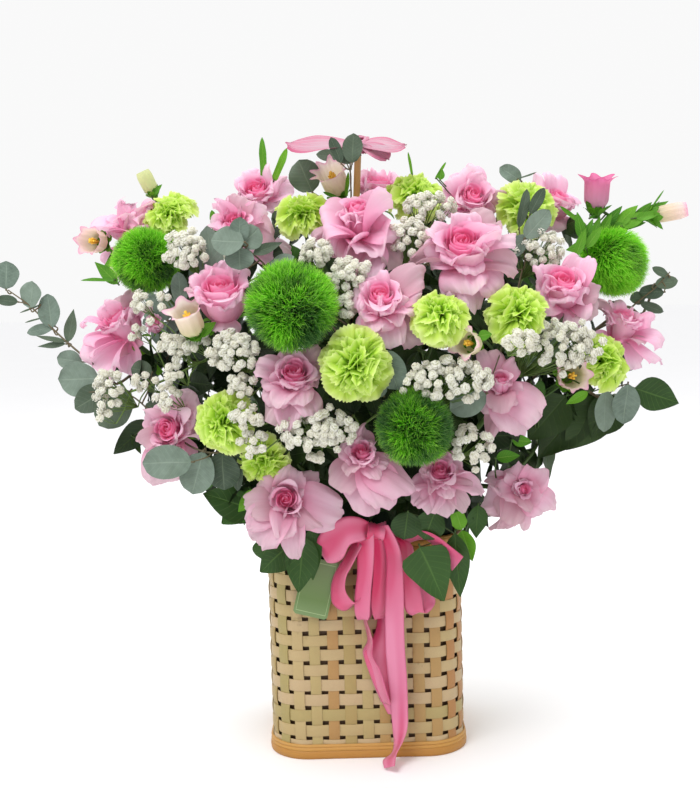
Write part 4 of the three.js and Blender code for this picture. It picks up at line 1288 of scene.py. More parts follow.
# How many samples of a stem are left out behind a tip, where its leaves hang from a twig of their own.
HIDDEN_TIPS = {
    ("eucalyptus_left", 0): 26,
    ("eucalyptus_left", 1): 2,
    ("eucalyptus_top", 0): 14,
    ("eucalyptus_right", 1): 2,
    ("broad_leaves_left", 0): 3,
    ("broad_leaves_right", 0): 3,
}
# Stems that go straight down into the foam behind the blooms, as pixels and fores in mm.
BACK_WAYS = {
    ("broad_leaves_back", 1): [(472, 420, -122), (450, 430, -98), (425, 458, -72), (405, 505, -52)],
    ("broad_leaves_back", 2): [(366, 236, -84), (370, 300, -76), (374, 400, -60), (376, 505, -46)],
    ("eucalyptus_back", 1): [(580, 298, -106), (530, 345, -88), (470, 410, -66), (425, 505, -50)],
}
# Small blooms beside a rose: pixel, fore and radius of the cup in mm, and where it faces.
BUDS = {"rose_01": ((153, 320), 74, 7, (-0.1, -0.8, 0.6))}
SHADED_ROSES_BELOW = 340  # pixel below which the roses get painted shade, a grey-mauve tint on their outer petals
# Each rose: pixel of its cup's mouth, radius of the cup in mm, where it faces, how tall the cup is, and for
# its outer petals the pixel of the tip, how many mm that lies in front of the bloom's middle, and the width.
ROSES = {
    "rose_01": ((114, 313), 17, (-0.52, -0.32, 0.79), 1.0, [
        (80, 327, 10, 30), (80, 344, 16, 32), (101, 376, 18, 58), (137, 295, -12, 40), (126, 372, 12, 34),
        (104, 303, -2, 24), (152, 308, -10, 34), (138, 350, 2, 36), (84, 362, 12, 34)]),
    "rose_02": ((164, 428), 15, (-0.35, -0.88, 0.30), 0.9, [
        (190, 387, -12, 32), (200, 440, 0, 28), (143, 411, -6, 24), (137, 444, 2, 20), (158, 489, 6, 42),
        (188, 474, -4, 32), (197, 404, -12, 26)]),
    "rose_03": ((134, 212), 18, (-0.45, 0.10, 0.89), 1.1, [
        (108, 221, 12, 60), (122, 203, 4, 54), (96, 234, 8, 56), (128, 244, 24, 60), (97, 258, 12, 52),
        (152, 203, 0, 36), (104, 272, 14, 46), (140, 222, 12, 48), (110, 236, 22, 50)]),
    "rose_04": ((255, 184), 14, (-0.10, -0.72, 0.69), 0.9, [
        (241, 172, -10, 28), (263, 168, -10, 30), (287, 176, -6, 34), (238, 196, 0, 26), (294, 190, -6, 28),
        (262, 206, 6, 30), (280, 204, 0, 26)]),
    "rose_05": ((234, 217), 13, (-0.05, -0.66, 0.74), 0.9, [
        (216, 206, -6, 26), (207, 226, 0, 26), (228, 198, -10, 24), (246, 196, -12, 26), (212, 246, 2, 28),
        (232, 252, 8, 30), (258, 250, 4, 34), (276, 238, -2, 34), (268, 214, -6, 26), (250, 232, 8, 26),
        (294, 252, -14, 40)]),
    "rose_06": ((219, 281), 21, (-0.05, -0.50, 0.86), 1.0, [
        (194, 272, -8, 26), (224, 330, 6, 30), (248, 270, -10, 30), (184, 290, 2, 28), (232, 262, -16, 34),
        (208, 264, -14, 32)]),
    "rose_07": ((357, 203), 14, (0.0, -0.58, 0.81), 1.4, [
        (392, 207, -10, 54), (319, 216, 0, 56), (345, 206, -12, 34), (312, 238, 4, 46), (403, 232, -8, 46),
        (340, 258, 14, 48), (368, 284, 16, 42), (400, 262, -4, 44), (374, 202, -20, 44), (322, 250, 2, 44),
        (382, 254, 14, 50), (352, 272, 12, 36)]),
    "rose_08": ((378, 178), 17, (0.06, -0.40, 0.91), 1.0, [
        (356, 182, 0, 28), (400, 174, -6, 22), (360, 206, 6, 34), (390, 206, 2, 30), (372, 170, -12, 30)]),
    "rose_09": ((474, 191), 14, (0.10, -0.80, 0.58), 0.9, [
        (459, 171, -10, 40), (440, 188, -8, 40), (443, 210, 0, 36), (509, 194, -4, 32), (491, 215, 4, 32),
        (468, 216, 6, 34), (488, 178, -8, 30)]),
    "rose_10": ((463, 236), 20, (0.0, -0.74, 0.67), 0.95, [
        (502, 236, 4, 46), (517, 232, -14, 30), (470, 294, 18, 44), (520, 270, -4, 32), (500, 292, 4, 34),
        (474, 312, 8, 42), (446, 296, 6, 30), (410, 264, -6, 30), (427, 227, -8, 26), (426, 258, 2, 36),
        (461, 210, -12, 34), (499, 216, -14, 32)]),
    "rose_11": ((562, 194), 14, (0.35, -0.45, 0.82), 1.0, [
        (532, 178, -6, 32), (550, 174, -10, 32), (577, 204, -4, 28), (562, 230, 6, 32), (536, 216, 2, 34)]),
    "rose_12": ((565, 276), 18, (-0.02, -0.64, 0.77), 1.0, [
        (590, 256, -14, 34), (536, 263, -10, 32), (543, 298, 4, 34), (600, 288, -4, 28), (578, 328, 8, 38),
        (553, 316, 4, 34), (542, 280, -4, 28), (597, 312, 0, 30)]),
    "rose_13": ((625, 312), 14, (0.20, -0.36, 0.91), 1.1, [
        (656, 316, -4, 28), (667, 337, -2, 28), (663, 360, 2, 30), (592, 307, -6, 24), (641, 366, 6, 28),
        (612, 303, -12, 20), (604, 342, 6, 30), (648, 342, 8, 28)]),
    "rose_14": ((381, 290), 15, (0.02, -0.70, 0.71), 1.0, [
        (358, 312, 8, 24), (376, 330, 14, 30), (398, 346, 4, 26), (424, 340, -4, 30), (360, 334, 2, 20),
        (420, 312, 0, 24), (422, 288, -8, 26), (427, 266, -18, 30), (352, 290, -10, 24), (378, 272, -10, 28),
        (400, 326, 8, 26)]),
    "rose_15": ((294, 368), 14, (0.05, -0.78, 0.60), 1.1, [
        (255, 362, -8, 26), (260, 384, -2, 22), (266, 404, 4, 24), (268, 424, 4, 30), (288, 430, 8, 28),
        (314, 416, 10, 26), (322, 372, -4, 22), (320, 346, -14, 26), (278, 350, -12, 26), (276, 408, 14, 22),
        (304, 404, 14, 24)]),
    "rose_16": ((501, 376), 8.5, (-0.05, -0.70, 0.70), 1.4, [
        (484, 348, -12, 26), (515, 359, -10, 22), (522, 400, 0, 24), (490, 443, 2, 22), (546, 413, 10, 42),
        (518, 434, 12, 36), (483, 412, 2, 26), (502, 412, 14, 26)]),
    "rose_17": ((361, 449), 10.5, (-0.10, -0.80, 0.58), 1.1, [
        (364, 422, -10, 24), (390, 462, -2, 18), (379, 478, 10, 18), (333, 488, -2, 30), (338, 446, -6, 22),
        (414, 490, 6, 44), (366, 515, 2, 40), (347, 476, 8, 18), (390, 506, 8, 38), (344, 462, 2, 18)]),
    "rose_18": ((285, 499), 13, (-0.08, -0.94, 0.22), 0.9, [
        (343, 512, 0, 42), (318, 474, -14, 28), (292, 467, -8, 30), (244, 509, -2, 30), (256, 549, 2, 40),
        (298, 559, 6, 24), (254, 488, -8, 30), (322, 526, 6, 26), (244, 530, 0, 26), (280, 540, 10, 28)]),
    "rose_19": ((441, 468), 11.5, (0.0, -0.80, 0.58), 1.0, [
        (412, 506, 0, 20), (428, 514, 4, 22), (446, 518, 8, 24), (466, 512, 4, 20), (484, 494, -2, 22),
        (472, 474, -6, 18), (460, 452, -12, 24), (420, 466, 2, 18), (408, 490, -2, 20), (452, 498, 12, 20),
        (430, 494, 10, 20), (478, 482, -4, 16)]),
    "rose_20": ((526, 489), 7.5, (0.32, -0.92, 0.16), 1.1, [
        (520, 461, -4, 34), (541, 468, -4, 30), (484, 482, -10, 30), (492, 530, -10, 46), (481, 508, -8, 44),
        (549, 514, -2, 32), (526, 533, 0, 15), (508, 524, 4, 38), (546, 492, 0, 30), (500, 496, 6, 30),
        (508, 472, -2, 28), (532, 512, 8, 26)]),
}
# Radii in mm that the carnations and balls show.
ACROSS = {
    "carnation_01": 25, "carnation_02": 25, "carnation_03": 27, "carnation_04": 28, "carnation_05": 30,
    "carnation_06": 25, "carnation_07": 27, "carnation_08": 26, "carnation_09": 28, "carnation_10": 23,
    "green_ball_01": 33, "green_ball_02": 41, "green_ball_03": 34, "green_ball_04": 35,
}
# How the blades of a ball are combed, and how dark they are.
COMBED = {
    "green_ball_01": ((-0.5, -0.2, -0.5), 0.14),
    "green_ball_02": ((0.0, 0.0, 0.6), 0.34),
    "green_ball_03": ((1.6, -0.6, -1.8), -0.32),
    "green_ball_04": ((0.3, 0.0, 0.3), 0.72),
}
# Clumps of baby's breath: pixel, fore in mm, half width and height in pixels, and how many florets.
CLUMPS = {
    "babys_breath_left": [
        (186, 252, 124, 20, 20, 46), (141, 303, 112, 9, 8, 9), (138, 333, 102, 7, 7, 5),
        (163, 303, 122, 6, 8, 5), (152, 320, 120, 3, 3, 1), (172, 344, 128, 13, 9, 14),
        (196, 343, 132, 12, 6, 9), (208, 330, 136, 5, 6, 4), (181, 355, 130, 7, 7, 5),
        (173, 374, 130, 8, 10, 9), (143, 382, 112, 12, 9, 9), (169, 399, 128, 13, 12, 13),
        (110, 392, 108, 15, 24, 30), (103, 418, 106, 4, 4, 2), (230, 270, -95, 26, 20, 34),
    ],
    "babys_breath_top": [
        (318, 254, 160, 17, 12, 26), (350, 275, 172, 20, 15, 34), (347, 306, 178, 8, 13, 14),
        (429, 207, 120, 23, 12, 32), (412, 240, 135, 18, 24, 44),
    ],
    "babys_breath_front": [
        (234, 352, 168, 25, 19, 52), (240, 385, 168, 12, 10, 14), (247, 417, 182, 14, 9, 14),
        (254, 444, 178, 11, 12, 12), (318, 430, 186, 36, 20, 74), (315, 458, 178, 8, 4, 5),
        (449, 380, 198, 45, 20, 74), (472, 447, 178, 20, 24, 26),
    ],
    "babys_breath_right": [
        (552, 345, 160, 46, 25, 96), (520, 341, 204, 15, 9, 18), (538, 252, 98, 23, 22, 38),
        (470, 270, -95, 26, 20, 34),
    ],
}
# Where each bell faces, its scale, how pink it is, how far it opens, how many lobes it has and how slim
# it is.
BELLS = {
    "bellflower_right": (
        ((0.02, -0.2, 1), 1.0, 1.0, 0.9, 6, 0.94),
        ((0.97, -0.2, 0.16), 1.15, 0.18, -0.30, 5, 0.66)),
    "bellflower_left": (
        ((-0.30, -0.95, 0.05), 1.0, 0.34, 0.5, 6),
        ((-0.4, -0.1, 0.9), 1.0, -0.15, -0.22, 5, 0.85),
        ((-0.25, -0.5, 0.82), 1.1, 0.10, 0.9)),
    "bellflower_top": (((-0.30, -0.62, 0.72), 1.0, 0.14, 0.9, 9),),
    "bellflower_front": (((0.05, -0.98, 0.15), 1.25, 0.22, 0.5, 7), ((-0.45, -0.75, 0.1), 1.1, 0.05, 0.8)),
}
# Twigs that leave a plant's stem, as pixels and fores in mm.
TWIGS = {
    "eucalyptus_left": [
        [(8, 290, 60), (30, 306, 60), (52, 328, 60), (68, 343, 61), (95, 366, 66)],
        [(84, 392, 74), (130, 395, 84), (180, 440, 110), (222, 452, 126)],
    ],
    "eucalyptus_top": [
        [(241, 244, 150), (262, 262, 138), (300, 300, 110)],
        [(524, 242, 102), (520, 270, 96)],
        [(521, 184, 42), (520, 215, 42)],
        [(350, 160, 106), (351, 190, 90), (354, 225, 72)],
    ],
    "eucalyptus_right": [[(670, 272, 44), (655, 288, 44), (640, 300, 46), (618, 318, 50)]],
}
# Leaves that the photograph shows: pixels of base and tip, fore and width in mm, the place of the material
# in the plant's list, and the shape where it isn't round for eucalyptus and pointed for the others.
LEAVES = {
    "eucalyptus_left": [
        (6, 289, 6, 261, 60, 26, 0), (18, 302, -4, 299, 60, 11, 2), (30, 308, 33, 281, 60, 23, 0),
        (52, 328, 47, 294, 60, 22, 0), (54, 326, 27, 333, 58, 11, 0),
        (68, 342, 74, 309, 62, 13, 2, "pointed"), (66, 342, 36, 336, 60, 6, 2, "pointed"),
        (66, 344, 37, 346, 60, 7, 2, "pointed"), (40, 305, 20, 313, 60, 2, 2, "strap"),
        (44, 317, 25, 323, 60, 2, 2, "strap"), (82, 362, 57, 358, 66, 19, 0),
        (99, 378, 58, 380, 72, 34, 0), (108, 388, 76, 409, 76, 27, 2), (130, 391, 99, 425, 84, 36, 2),
        (152, 372, 131, 368, 90, 19, 2), (192, 462, 142, 463, 140, 32, 0),
        (203, 452, 192, 494, 134, 32, 0), (222, 452, 224, 490, 130, 32, 2),
        (238, 452, 236, 492, 128, 12, 2), (172, 420, 146, 404, 70, 26, 2),
    ],
    "eucalyptus_top": [
        (239, 244, 240, 217, 150, 18, 0), (244, 242, 211, 240, 154, 27, 0),
        (241, 246, 259, 228, 148, 24, 0), (239, 247, 240, 270, 150, 26, 0),
        (253, 254, 282, 242, 146, 11, 2, "pointed"), (268, 268, 294, 256, 142, 13, 0),
        (214, 292, 207, 226, 112, 24, 0), (200, 296, 200, 248, 108, 20, 0),
        (181, 305, 178, 272, 104, 16, 0), (341, 163, 331, 137, 106, 11, 2),
        (352, 163, 353, 133, 108, 19, 2), (344, 158, 316, 154, 46, 13, 2),
        (360, 155, 336, 158, 102, 14, 2), (312, 192, 298, 160, 60, 31, 2), (521, 181, 500, 167, 42, 17, 0),
        (518, 179, 537, 172, 42, 2, 2, "strap"), (530, 189, 504, 191, 44, 4, 2, "strap"),
        (519, 228, 528, 189, 100, 10, 2), (530, 214, 544, 188, 102, 11, 2),
        (525, 238, 550, 210, 106, 20, 0), (528, 236, 504, 257, 104, 17, 0),
        (384, 350, 398, 390, 190, 26, 0), (486, 394, 450, 410, 184, 26, 0),
        (384, 396, 372, 380, 184, 16, 0),
    ],
    "eucalyptus_right": [
        (669, 277, 653, 267, 44, 9, 2), (655, 284, 678, 281, 44, 13, 2), (664, 292, 639, 292, 44, 16, 2),
        (645, 298, 630, 299, 44, 14, 2), (640, 303, 663, 312, 46, 10, 2), (626, 312, 606, 305, 50, 14, 2),
        (628, 384, 624, 424, 96, 27, 0), (606, 390, 604, 432, 92, 20, 0),
    ],
    "broad_leaves_left": [
        (150, 421, 114, 454, 66, 26, 3), (132, 436, 141, 454, 66, 8, 3), (262, 512, 203, 493, 84, 40, 0),
        (256, 496, 222, 524, 80, 34, 0), (258, 490, 238, 512, 92, 16, 2), (288, 546, 260, 572, 112, 36, 0),
        (304, 536, 298, 592, 116, 34, 0), (312, 528, 313, 580, 112, 20, 0),
        (214, 478, 196, 492, 100, 12, 0), (268, 540, 262, 560, 108, 24, 0, "round"),
    ],
    "broad_leaves_right": [
        (634, 388, 679, 403, 46, 36, 0), (592, 392, 538, 458, 60, 50, 3), (606, 398, 566, 450, 66, 46, 3),
        (618, 396, 592, 438, 70, 42, 3), (566, 396, 528, 440, 76, 44, 3),
        (420, 547, 444, 601, 128, 46, 0, "heart"), (455, 533, 460, 598, 118, 26, 0),
        (462, 530, 472, 562, 112, 20, 2), (408, 512, 404, 540, 132, 28, 0, "round"),
        (436, 510, 424, 540, 130, 28, 0, "round"), (456, 512, 462, 530, 124, 16, 2, "strap"),
        (478, 505, 476, 538, 104, 22, 0), (541, 380, 536, 410, 150, 12, 0, "round"),
        (531, 382, 527, 404, 148, 9, 0, "round"), (512, 440, 532, 442, 130, 12, 2),
        (496, 458, 520, 455, 130, 13, 2),
    ],
    "broad_leaves_back": [
        (365, 262, 380, 230, -60, 40, 0), (300, 280, 270, 240, -60, 44, 0),
        (430, 280, 470, 235, -60, 44, 0), (520, 300, 560, 250, -60, 46, 0),
        (230, 300, 180, 262, -60, 46, 0),
    ],
    "rose_01": [(161, 374, 134, 344, 50, 8, 3, "strap")],
    "rose_04": [(264, 182, 262, 137, 34, 8, 3, "strap"), (274, 180, 287, 148, 36, 8, 3, "strap")],
    "rose_05": [(216, 232, 212, 210, 84, 8, 3, "strap")],
    "rose_09": [(440, 180, 442, 168, 60, 8, 3), (436, 178, 446, 162, 60, 3, 3, "strap")],
    "carnation_03": [(412, 174, 408, 152, 80, 3, 2, "strap")],
    "bellflower_left": [
        (118, 284, 95, 262, 52, 14, 2), (114, 280, 80, 279, 54, 4, 2, "strap"),
        (104, 270, 118, 252, 50, 8, 2), (152, 196, 162, 184, -4, 6, 2), (196, 336, 216, 322, 146, 12, 2),
    ],
    "bellflower_top": [(342, 200, 323, 192, 74, 4, 2, "strap"), (346, 196, 348, 172, 72, 4, 2, "strap")],
    "bellflower_right": [
        (585, 226, 560, 206, 44, 5, 2, "strap"), (590, 218, 612, 205, 42, 3, 2, "strap"),
        (583, 240, 577, 212, 78, 11, 2), (600, 232, 622, 206, 42, 12, 2), (616, 226, 638, 205, 42, 13, 2),
        (622, 226, 650, 212, 44, 14, 2), (632, 222, 652, 202, 40, 10, 2), (640, 216, 669, 200, 40, 9, 2),
        (646, 214, 664, 229, 42, 8, 2), (650, 210, 664, 190, 40, 2, 2, "strap"),
        (612, 232, 630, 226, 44, 16, 2), (592, 246, 566, 250, 50, 14, 2), (598, 236, 612, 214, 46, 10, 2),
        (592, 240, 600, 216, 48, 9, 2), (606, 230, 628, 212, 38, 10, 2), (620, 228, 646, 222, 38, 9, 2),
        (630, 220, 650, 208, 36, 9, 2), (636, 218, 660, 214, 46, 10, 2), (576, 256, 586, 228, 88, 10, 2),
        (582, 246, 593, 218, 74, 9, 2), (586, 248, 602, 226, 84, 10, 2), (642, 214, 660, 204, 38, 7, 2),
    ],
    "bellflower_front": [(478, 336, 492, 334, 192, 10, 2), (588, 392, 566, 404, 128, 10, 2)],
}


def seen_way(places):
    """A way given as pixels and fores in mm."""
    return [seen((x, y), fore) for x, y, fore in places]


def bloom(surface, name, kind, i, tip, path, rng):
    """What one tip of a plant bears, unless it is a rose or its leaves hang where the photograph shows them,
    and the leaflets along its stem."""
    radius = ACROSS.get(name, 0) * MM or tip["radius"]
    if kind == "carnation":
        carnation(surface, tip["centre"], tip["facing"], radius, rng)
        leafy(surface, path, rng, 8, slot=3)
    elif kind == "green_ball":
        green_ball(surface, tip["centre"], radius, rng, *COMBED[name])
        leafy(surface, path, rng, 9)
    elif kind == "bellflower":
        facing, scale, *looks = BELLS[name][i]
        bell(surface, tip["centre"], facing, scale * radius, rng, *looks)
    elif name == "broad_leaves_back":
        branch_leaves(surface, path, tip, rng)
        leafy(surface, path, rng, 6, 40, 0.9, 0, (40, 56))
    elif name == "eucalyptus_back":
        sprig_leaves(surface, path, tip, rng)
    if kind in LEAFY:
        slot, behind = LEAFY[kind]
        leafy(surface, path, rng, 5, behind, 0.8, slot)


def grow(name, tips):
    """Draws a plant as one piece: what its tips bear, its stems, clumps, twigs and leaves."""
    kind = name.rsplit("_", 1)[0]
    slot, stem_radius, materials = PLANTS[kind]
    rng = random_for(name)
    surface = Surface()
    paths = stem_paths(name, tips)
    for (plant, i), way in BACK_WAYS.items():
        if plant == name:
            paths[i] = smooth_path(seen_way(way), STEM_STEPS)
    for i, tip in enumerate(tips):
        if kind == "rose":
            paths[i] = rose_head(surface, name, tip, paths[i], rng)
        else:
            bloom(surface, name, kind, i, tip, paths[i], rng)
        paths[i] = paths[i][HIDDEN_TIPS.get((name, i), 0):]
        if len(paths[i]):
            draw_stem(surface, paths[i], stem_radius * MM)
    paths = [path for path in paths if len(path)]
    for place in CLUMPS.get(name, ()):
        clump(surface, paths, *place, rng)
    for twig in TWIGS.get(name, ()):
        points = seen_way(twig)
        far = points[-1] + (points[-1] - points[0]) * 0.3
        points.append(nearest(np.concatenate(paths), far))
        paths.append(smooth_path(points, 30))
        tube(surface, paths[-1], np.linspace(0.6, 1.2, 30) * MM, 1, 6)
    for leaf in LEAVES.get(name, ()):
        hung_leaf(surface, np.concatenate(paths), rng, "round" if kind == "eucalyptus" else "pointed", *leaf)
    if name == "broad_leaves_back":
        collar(surface, rng)
    finish_piece(surface.piece(name + "_bloom", materials), name)


def rose_head(surface, name, tip, path, rng):
    """The bloom of a rose with its leaves. Gives back the stem's path, which now ends under the cup."""
    pixel, cup, facing, tall, tips = ROSES[name]
    cup *= MM
    fore = (-tip["centre"][1]) / MM
    mouth = seen(pixel, fore + 0.35 * cup / MM)
    petals = [(seen((x, y), fore + lift), width * MM) for x, y, lift, width in tips]
    # Roses low in the bouquet get painted shade: a grey-mauve tint on their outer petals.
    rose(surface, mouth, cup, facing, tall, petals, int(pixel[1] > SHADED_ROSES_BELOW), rng)
    ahead = unit(facing)
    base = mouth - 2.1 * cup * tall * ahead
    path = smooth_path([base, base - 9 * MM * ahead, *path[6::4]], STEM_STEPS)
    if name in BUDS:
        pixel, fore, cup, facing = BUDS[name]
        place = seen(pixel, fore)
        rose(surface, place, cup * MM, facing, 1.3, [], 0, rng)
        foot = place - 2.9 * cup * MM * unit(facing)
        tube(surface, smooth_path([foot, foot - 8 * MM * unit(facing), path[6]], 9), 1.2 * MM, 1, 6)
    leafy(surface, path, rng, 9)
    return path


for name, where in BLOOMS.items():
    grow(name, [tip_of(*where)])
for name, tips in SPRAYS.items():
    grow(name, [tip_of(*tip) for tip in tips])

# ---------------------------------------------------------------- the basket

HALF_WIDTH = 98 * MM
HALF_DEPTH = 83 * MM
CORNER = 40 * MM
WEAVE_LOW = 6 * MM
WEAVE_TOP = 218 * MM
UPRIGHTS = 38
ROWS = 14
STRIP_WIDTH = 11.0 * MM
STRIP_THICK = 0.9 * MM
SWING = 0.75 * MM  # how far a strip goes in or out as it passes another
GRAIN = 20 * MM  # the length along a strip that is one unit of its grain

BAMBOO = bamboo_material("bamboo_weave", [
    (0.76, 0.665, 0.51), (0.73, 0.645, 0.44), (0.66, 0.60, 0.375), (0.70, 0.555, 0.335), (0.69, 0.49, 0.265),
], 0.65)
BAND = bamboo_material("bamboo_band", [(0.80, 0.61, 0.32), (0.78, 0.57, 0.25), (0.68, 0.46, 0.18)], 0.80)
STICK = bamboo_material("bamboo_stick", [(0.78, 0.60, 0.34), (0.74, 0.53, 0.27), (0.64, 0.43, 0.20)], 0.75)


def plan(outset):
    """The basket's plan, moved outwards: its length and a function from a distance along it, which starts at
    the front's middle and goes to the right, to the point and the outward normal there."""
    radius = CORNER + outset
    x, y = HALF_WIDTH - CORNER, HALF_DEPTH - CORNER
    points = [(0.0, -y - radius, 0.0, -1.0)]
    for cx, cy, start in ((x, -y, -90), (x, y, 0), (-x, y, 90), (-x, -y, 180)):
        for step in range(25):
            a = radians(start + 90 * step / 24)
            points.append((cx + radius * cos(a), cy + radius * sin(a), cos(a), sin(a)))
    points.append(points[0])
    points = np.array(points)
    along = np.concatenate([[0], np.cumsum(np.linalg.norm(np.diff(points[:, :2], axis=0), axis=1))])

    def at(distance):
        distance = np.asarray(distance) % along[-1]
        x, y, nx, ny = (np.interp(distance, along, points[:, k]) for k in range(4))
        flat = np.zeros_like(x)
        return np.stack([x, y, flat], -1), np.stack([nx, ny, flat], -1)

    return along[-1], at


def splint(surface, path, out, wide, width, thick, tone, length, bulge=0.12, ends=True):
    """A split of bamboo along a path. out and wide are its directions across its thickness and its width. It
    is a little rounded on its outside. length counts along it in units of the grain."""
    u = np.array([-1.0, -0.86, 0.0, 0.86, 1.0])
    lift = 0.5 * thick - bulge * thick * np.array([3.5, 1.2, 0.0, 1.2, 3.5])
    along = np.broadcast_to(length, len(path))[:, None]
    flat = path[:, None] + wide[:, None] * (0.5 * width * u)[None, :, None]
    face = flat + out[:, None] * lift[None, :, None]
    back = flat - out[:, None] * 0.5 * thick
    surface.grid(face, across=u, along=along, tone=tone)
    surface.grid(back[:, ::-1], across=u[::-1], along=along, tone=tone)
    for column, sign in ((0, -1.0), (-1, 1.0)):
        side = np.stack([face[:, column], back[:, column]], axis=1)
        surface.grid(side if sign < 0 else side[:, ::-1], across=[sign, sign], along=along, tone=tone)
    if ends:
        for row in (0, -1):
            end = np.stack([face[row], back[row]], axis=0)
            surface.grid(end, across=u, along=np.broadcast_to(along[row], (2, 1)), tone=tone)


def weave():
    """The wall: level strips and upright ones that pass in front of and behind each other by turns."""
    surface = Surface()
    rng = random_for("weave")
    round_it, at = plan(-1.5 * MM)
    pitch = round_it / UPRIGHTS
    step = (WEAVE_TOP - WEAVE_LOW) / ROWS
    stations = UPRIGHTS * 10 + 1
    for row in range(ROWS):
        s = np.linspace(0, round_it, stations)
        middle, normal = at(s)
        z = WEAVE_LOW + (row + 0.5) * step
        z = z + rng.normal(0, 0.25 * MM) + 0.35 * MM * np.sin(2 * pi * s / round_it * 3 + rng.uniform(0, 6))
        offset = SWING * np.cos(pi * (s / pitch + row))
        path = middle + normal * offset[:, None] + UP * np.broadcast_to(z, s.shape)[:, None]
        wide = np.broadcast_to(UP, path.shape)
        width = STRIP_WIDTH * rng.uniform(0.94, 1.05)
        tone = rng.choice([0.0, 0.04, 0.1, 0.2, 0.3, 0.36]) + rng.uniform(0, 0.05)
        splint(surface, path, normal, wide, width, STRIP_THICK, tone, s / GRAIN + 7 * row, ends=False)
    for k in range(UPRIGHTS):
        z = np.linspace(WEAVE_LOW - 3 * MM, WEAVE_TOP, ROWS * 8)
        s = (k + rng.normal(0, 0.02)) * pitch + 0.4 * MM * np.sin(z * 30 + rng.uniform(0, 6))
        middle, normal = at(s)
        offset = -SWING * np.cos(pi * ((z - WEAVE_LOW) / step - 0.5 + k))
        path = middle + normal * offset[:, None] + UP * z[:, None]
        wide = np.cross(UP, normal)
        width = STRIP_WIDTH * rng.uniform(0.95, 1.06)
        tone = rng.choice([0.15, 0.3, 0.45, 0.55, 0.7, 0.8, 0.95]) + rng.uniform(0, 0.05)
        splint(surface, path, normal, wide, width, STRIP_THICK, tone, z / GRAIN + 3 * k)
    finish_piece(surface.piece("woven_wall", [BAMBOO]), "basket_wall")


def hoops(name, node, layers):
    """Bent splits round the basket. Each layer gives its outset, thickness, lower and upper height in mm."""
    surface = Surface()
    rng = random_for(name)
    for outset, thick, low, high in layers:
        round_it, at = plan(outset * MM)
        s = np.linspace(0, round_it, 241)
        middle, normal = at(s)
        waver = np.sin(2 * pi * s / round_it * 4 + rng.uniform(0, 6))
        waver = waver + 0.5 * np.sin(2 * pi * s / round_it * 9 + rng.uniform(0, 6))
        z = 0.5 * (low + high) * MM + 0.18 * MM * waver * (low > 1)
        path = middle + normal * (0.12 * MM * waver)[:, None] + UP * z[:, None]
        wide = np.broadcast_to(UP, path.shape)
        splint(surface, path, normal, wide, (high - low) * MM, thick * MM, rng.uniform(0.1, 0.9),
               s / GRAIN, bulge=0.16, ends=False)
    finish_piece(surface.piece(name, [BAND]), node)


weave()
hoops("base_hoops", "basket_base_band", [
    (1.0, 2.4, 0.0, 8.2), (0.7, 2.2, 7.6, 11.6), (0.4, 2.0, 11.2, 14.6), (-3.6, 1.6, 0.0, 14.0)])
hoops("rim_hoops", "basket_rim", [
    (0.9, 2.2, 205.0, 213.0), (0.7, 2.0, 212.4, 219.0), (-4.2, 2.0, 206.0, 219.0), (-1.6, 5.6, 217.6, 220.0)])

# ---------------------------------------------------------------- ribbon

RIBBON_WIDTH = 24 * MM
RIBBON_THICK = 0.4 * MM
KNOT = seen((376, 531), 116)


def ribbon(name, tone, stations):
    """A closed strip of satin. Each station gives the pixels of its left and right edges, their mean fore in
    mm, and `near` from -1 to 1, which says how much of the width that the photograph doesn't show goes into
    bringing the right edge nearer."""
    steps, columns = 72, 9
    left, right = [], []
    for x, y, right_x, right_y, fore, near in stations:
        shown = np.linalg.norm(seen((x, y), fore) - seen((right_x, right_y), fore))
        hidden = 0.5 * near * np.sqrt(max(RIBBON_WIDTH**2 - shown**2, 0)) / MM
        left.append(seen((x, y), fore - hidden))
        right.append(seen((right_x, right_y), fore + hidden))
    left = smooth_path(left, steps)
    right = smooth_path(right, steps)
    u = np.linspace(-1, 1, columns)
    middle = 0.5 * (left + right)
    middle_run = np.linalg.norm(np.diff(middle, axis=0), axis=1)
    along = np.concatenate([[0], np.cumsum(middle_run)])
    across = right - left
    ahead = np.gradient(middle, axis=0)
    normal = units(np.cross(across, ahead))
    rng = random_for(name)
    waver = 0.8 * MM * (0.6 + 0.4 * np.sin(along / 0.018 + rng.uniform(0, 6)))
    bulge = waver[:, None] * (1 - u**2)[None, :]
    bulge = bulge + 0.3 * MM * np.sin(along / 0.011 + rng.uniform(0, 6))[:, None] * u[None, :]
    sheet = middle[:, None] + 0.5 * across[:, None] * u[None, :, None] + normal[:, None] * bulge[..., None]
    half = 0.5 * RIBBON_THICK * normal[:, None]
    ring = np.concatenate([sheet + half, (sheet - half)[:, ::-1]], axis=1)
    # The colour is deepest near the knot: painted shade where the ribbon is gathered.
    knot_shade = 0.95 * np.exp(-np.linalg.norm(middle - KNOT, axis=1) / (26 * MM))
    surface = Surface()
    surface.grid(
        ring,
        across=np.concatenate([u, u[::-1]]),
        along=along[:, None],
        # Each piece's tone, a slow swing along it and the deepening near the knot: painted light and shade.
        tone=np.clip(tone + 0.12 * np.sin(along / 0.03) + knot_shade, 0, 1)[:, None],
        closed=True,
    )
    last = (steps - 1) * 2 * columns
    caps = []
    for base, flip in ((0, False), (last, True)):
        for k in range(columns - 1):
            quad = [base + k, base + 2 * columns - 1 - k, base + 2 * columns - 2 - k, base + k + 1]
            caps.append(quad[::-1] if flip else quad)
    surface.quads.append(np.array(caps))
    surface.slots.append(np.zeros(len(caps), int))
    piece = finish_piece(surface.piece(name, [SATIN]), "ribbon_bow")


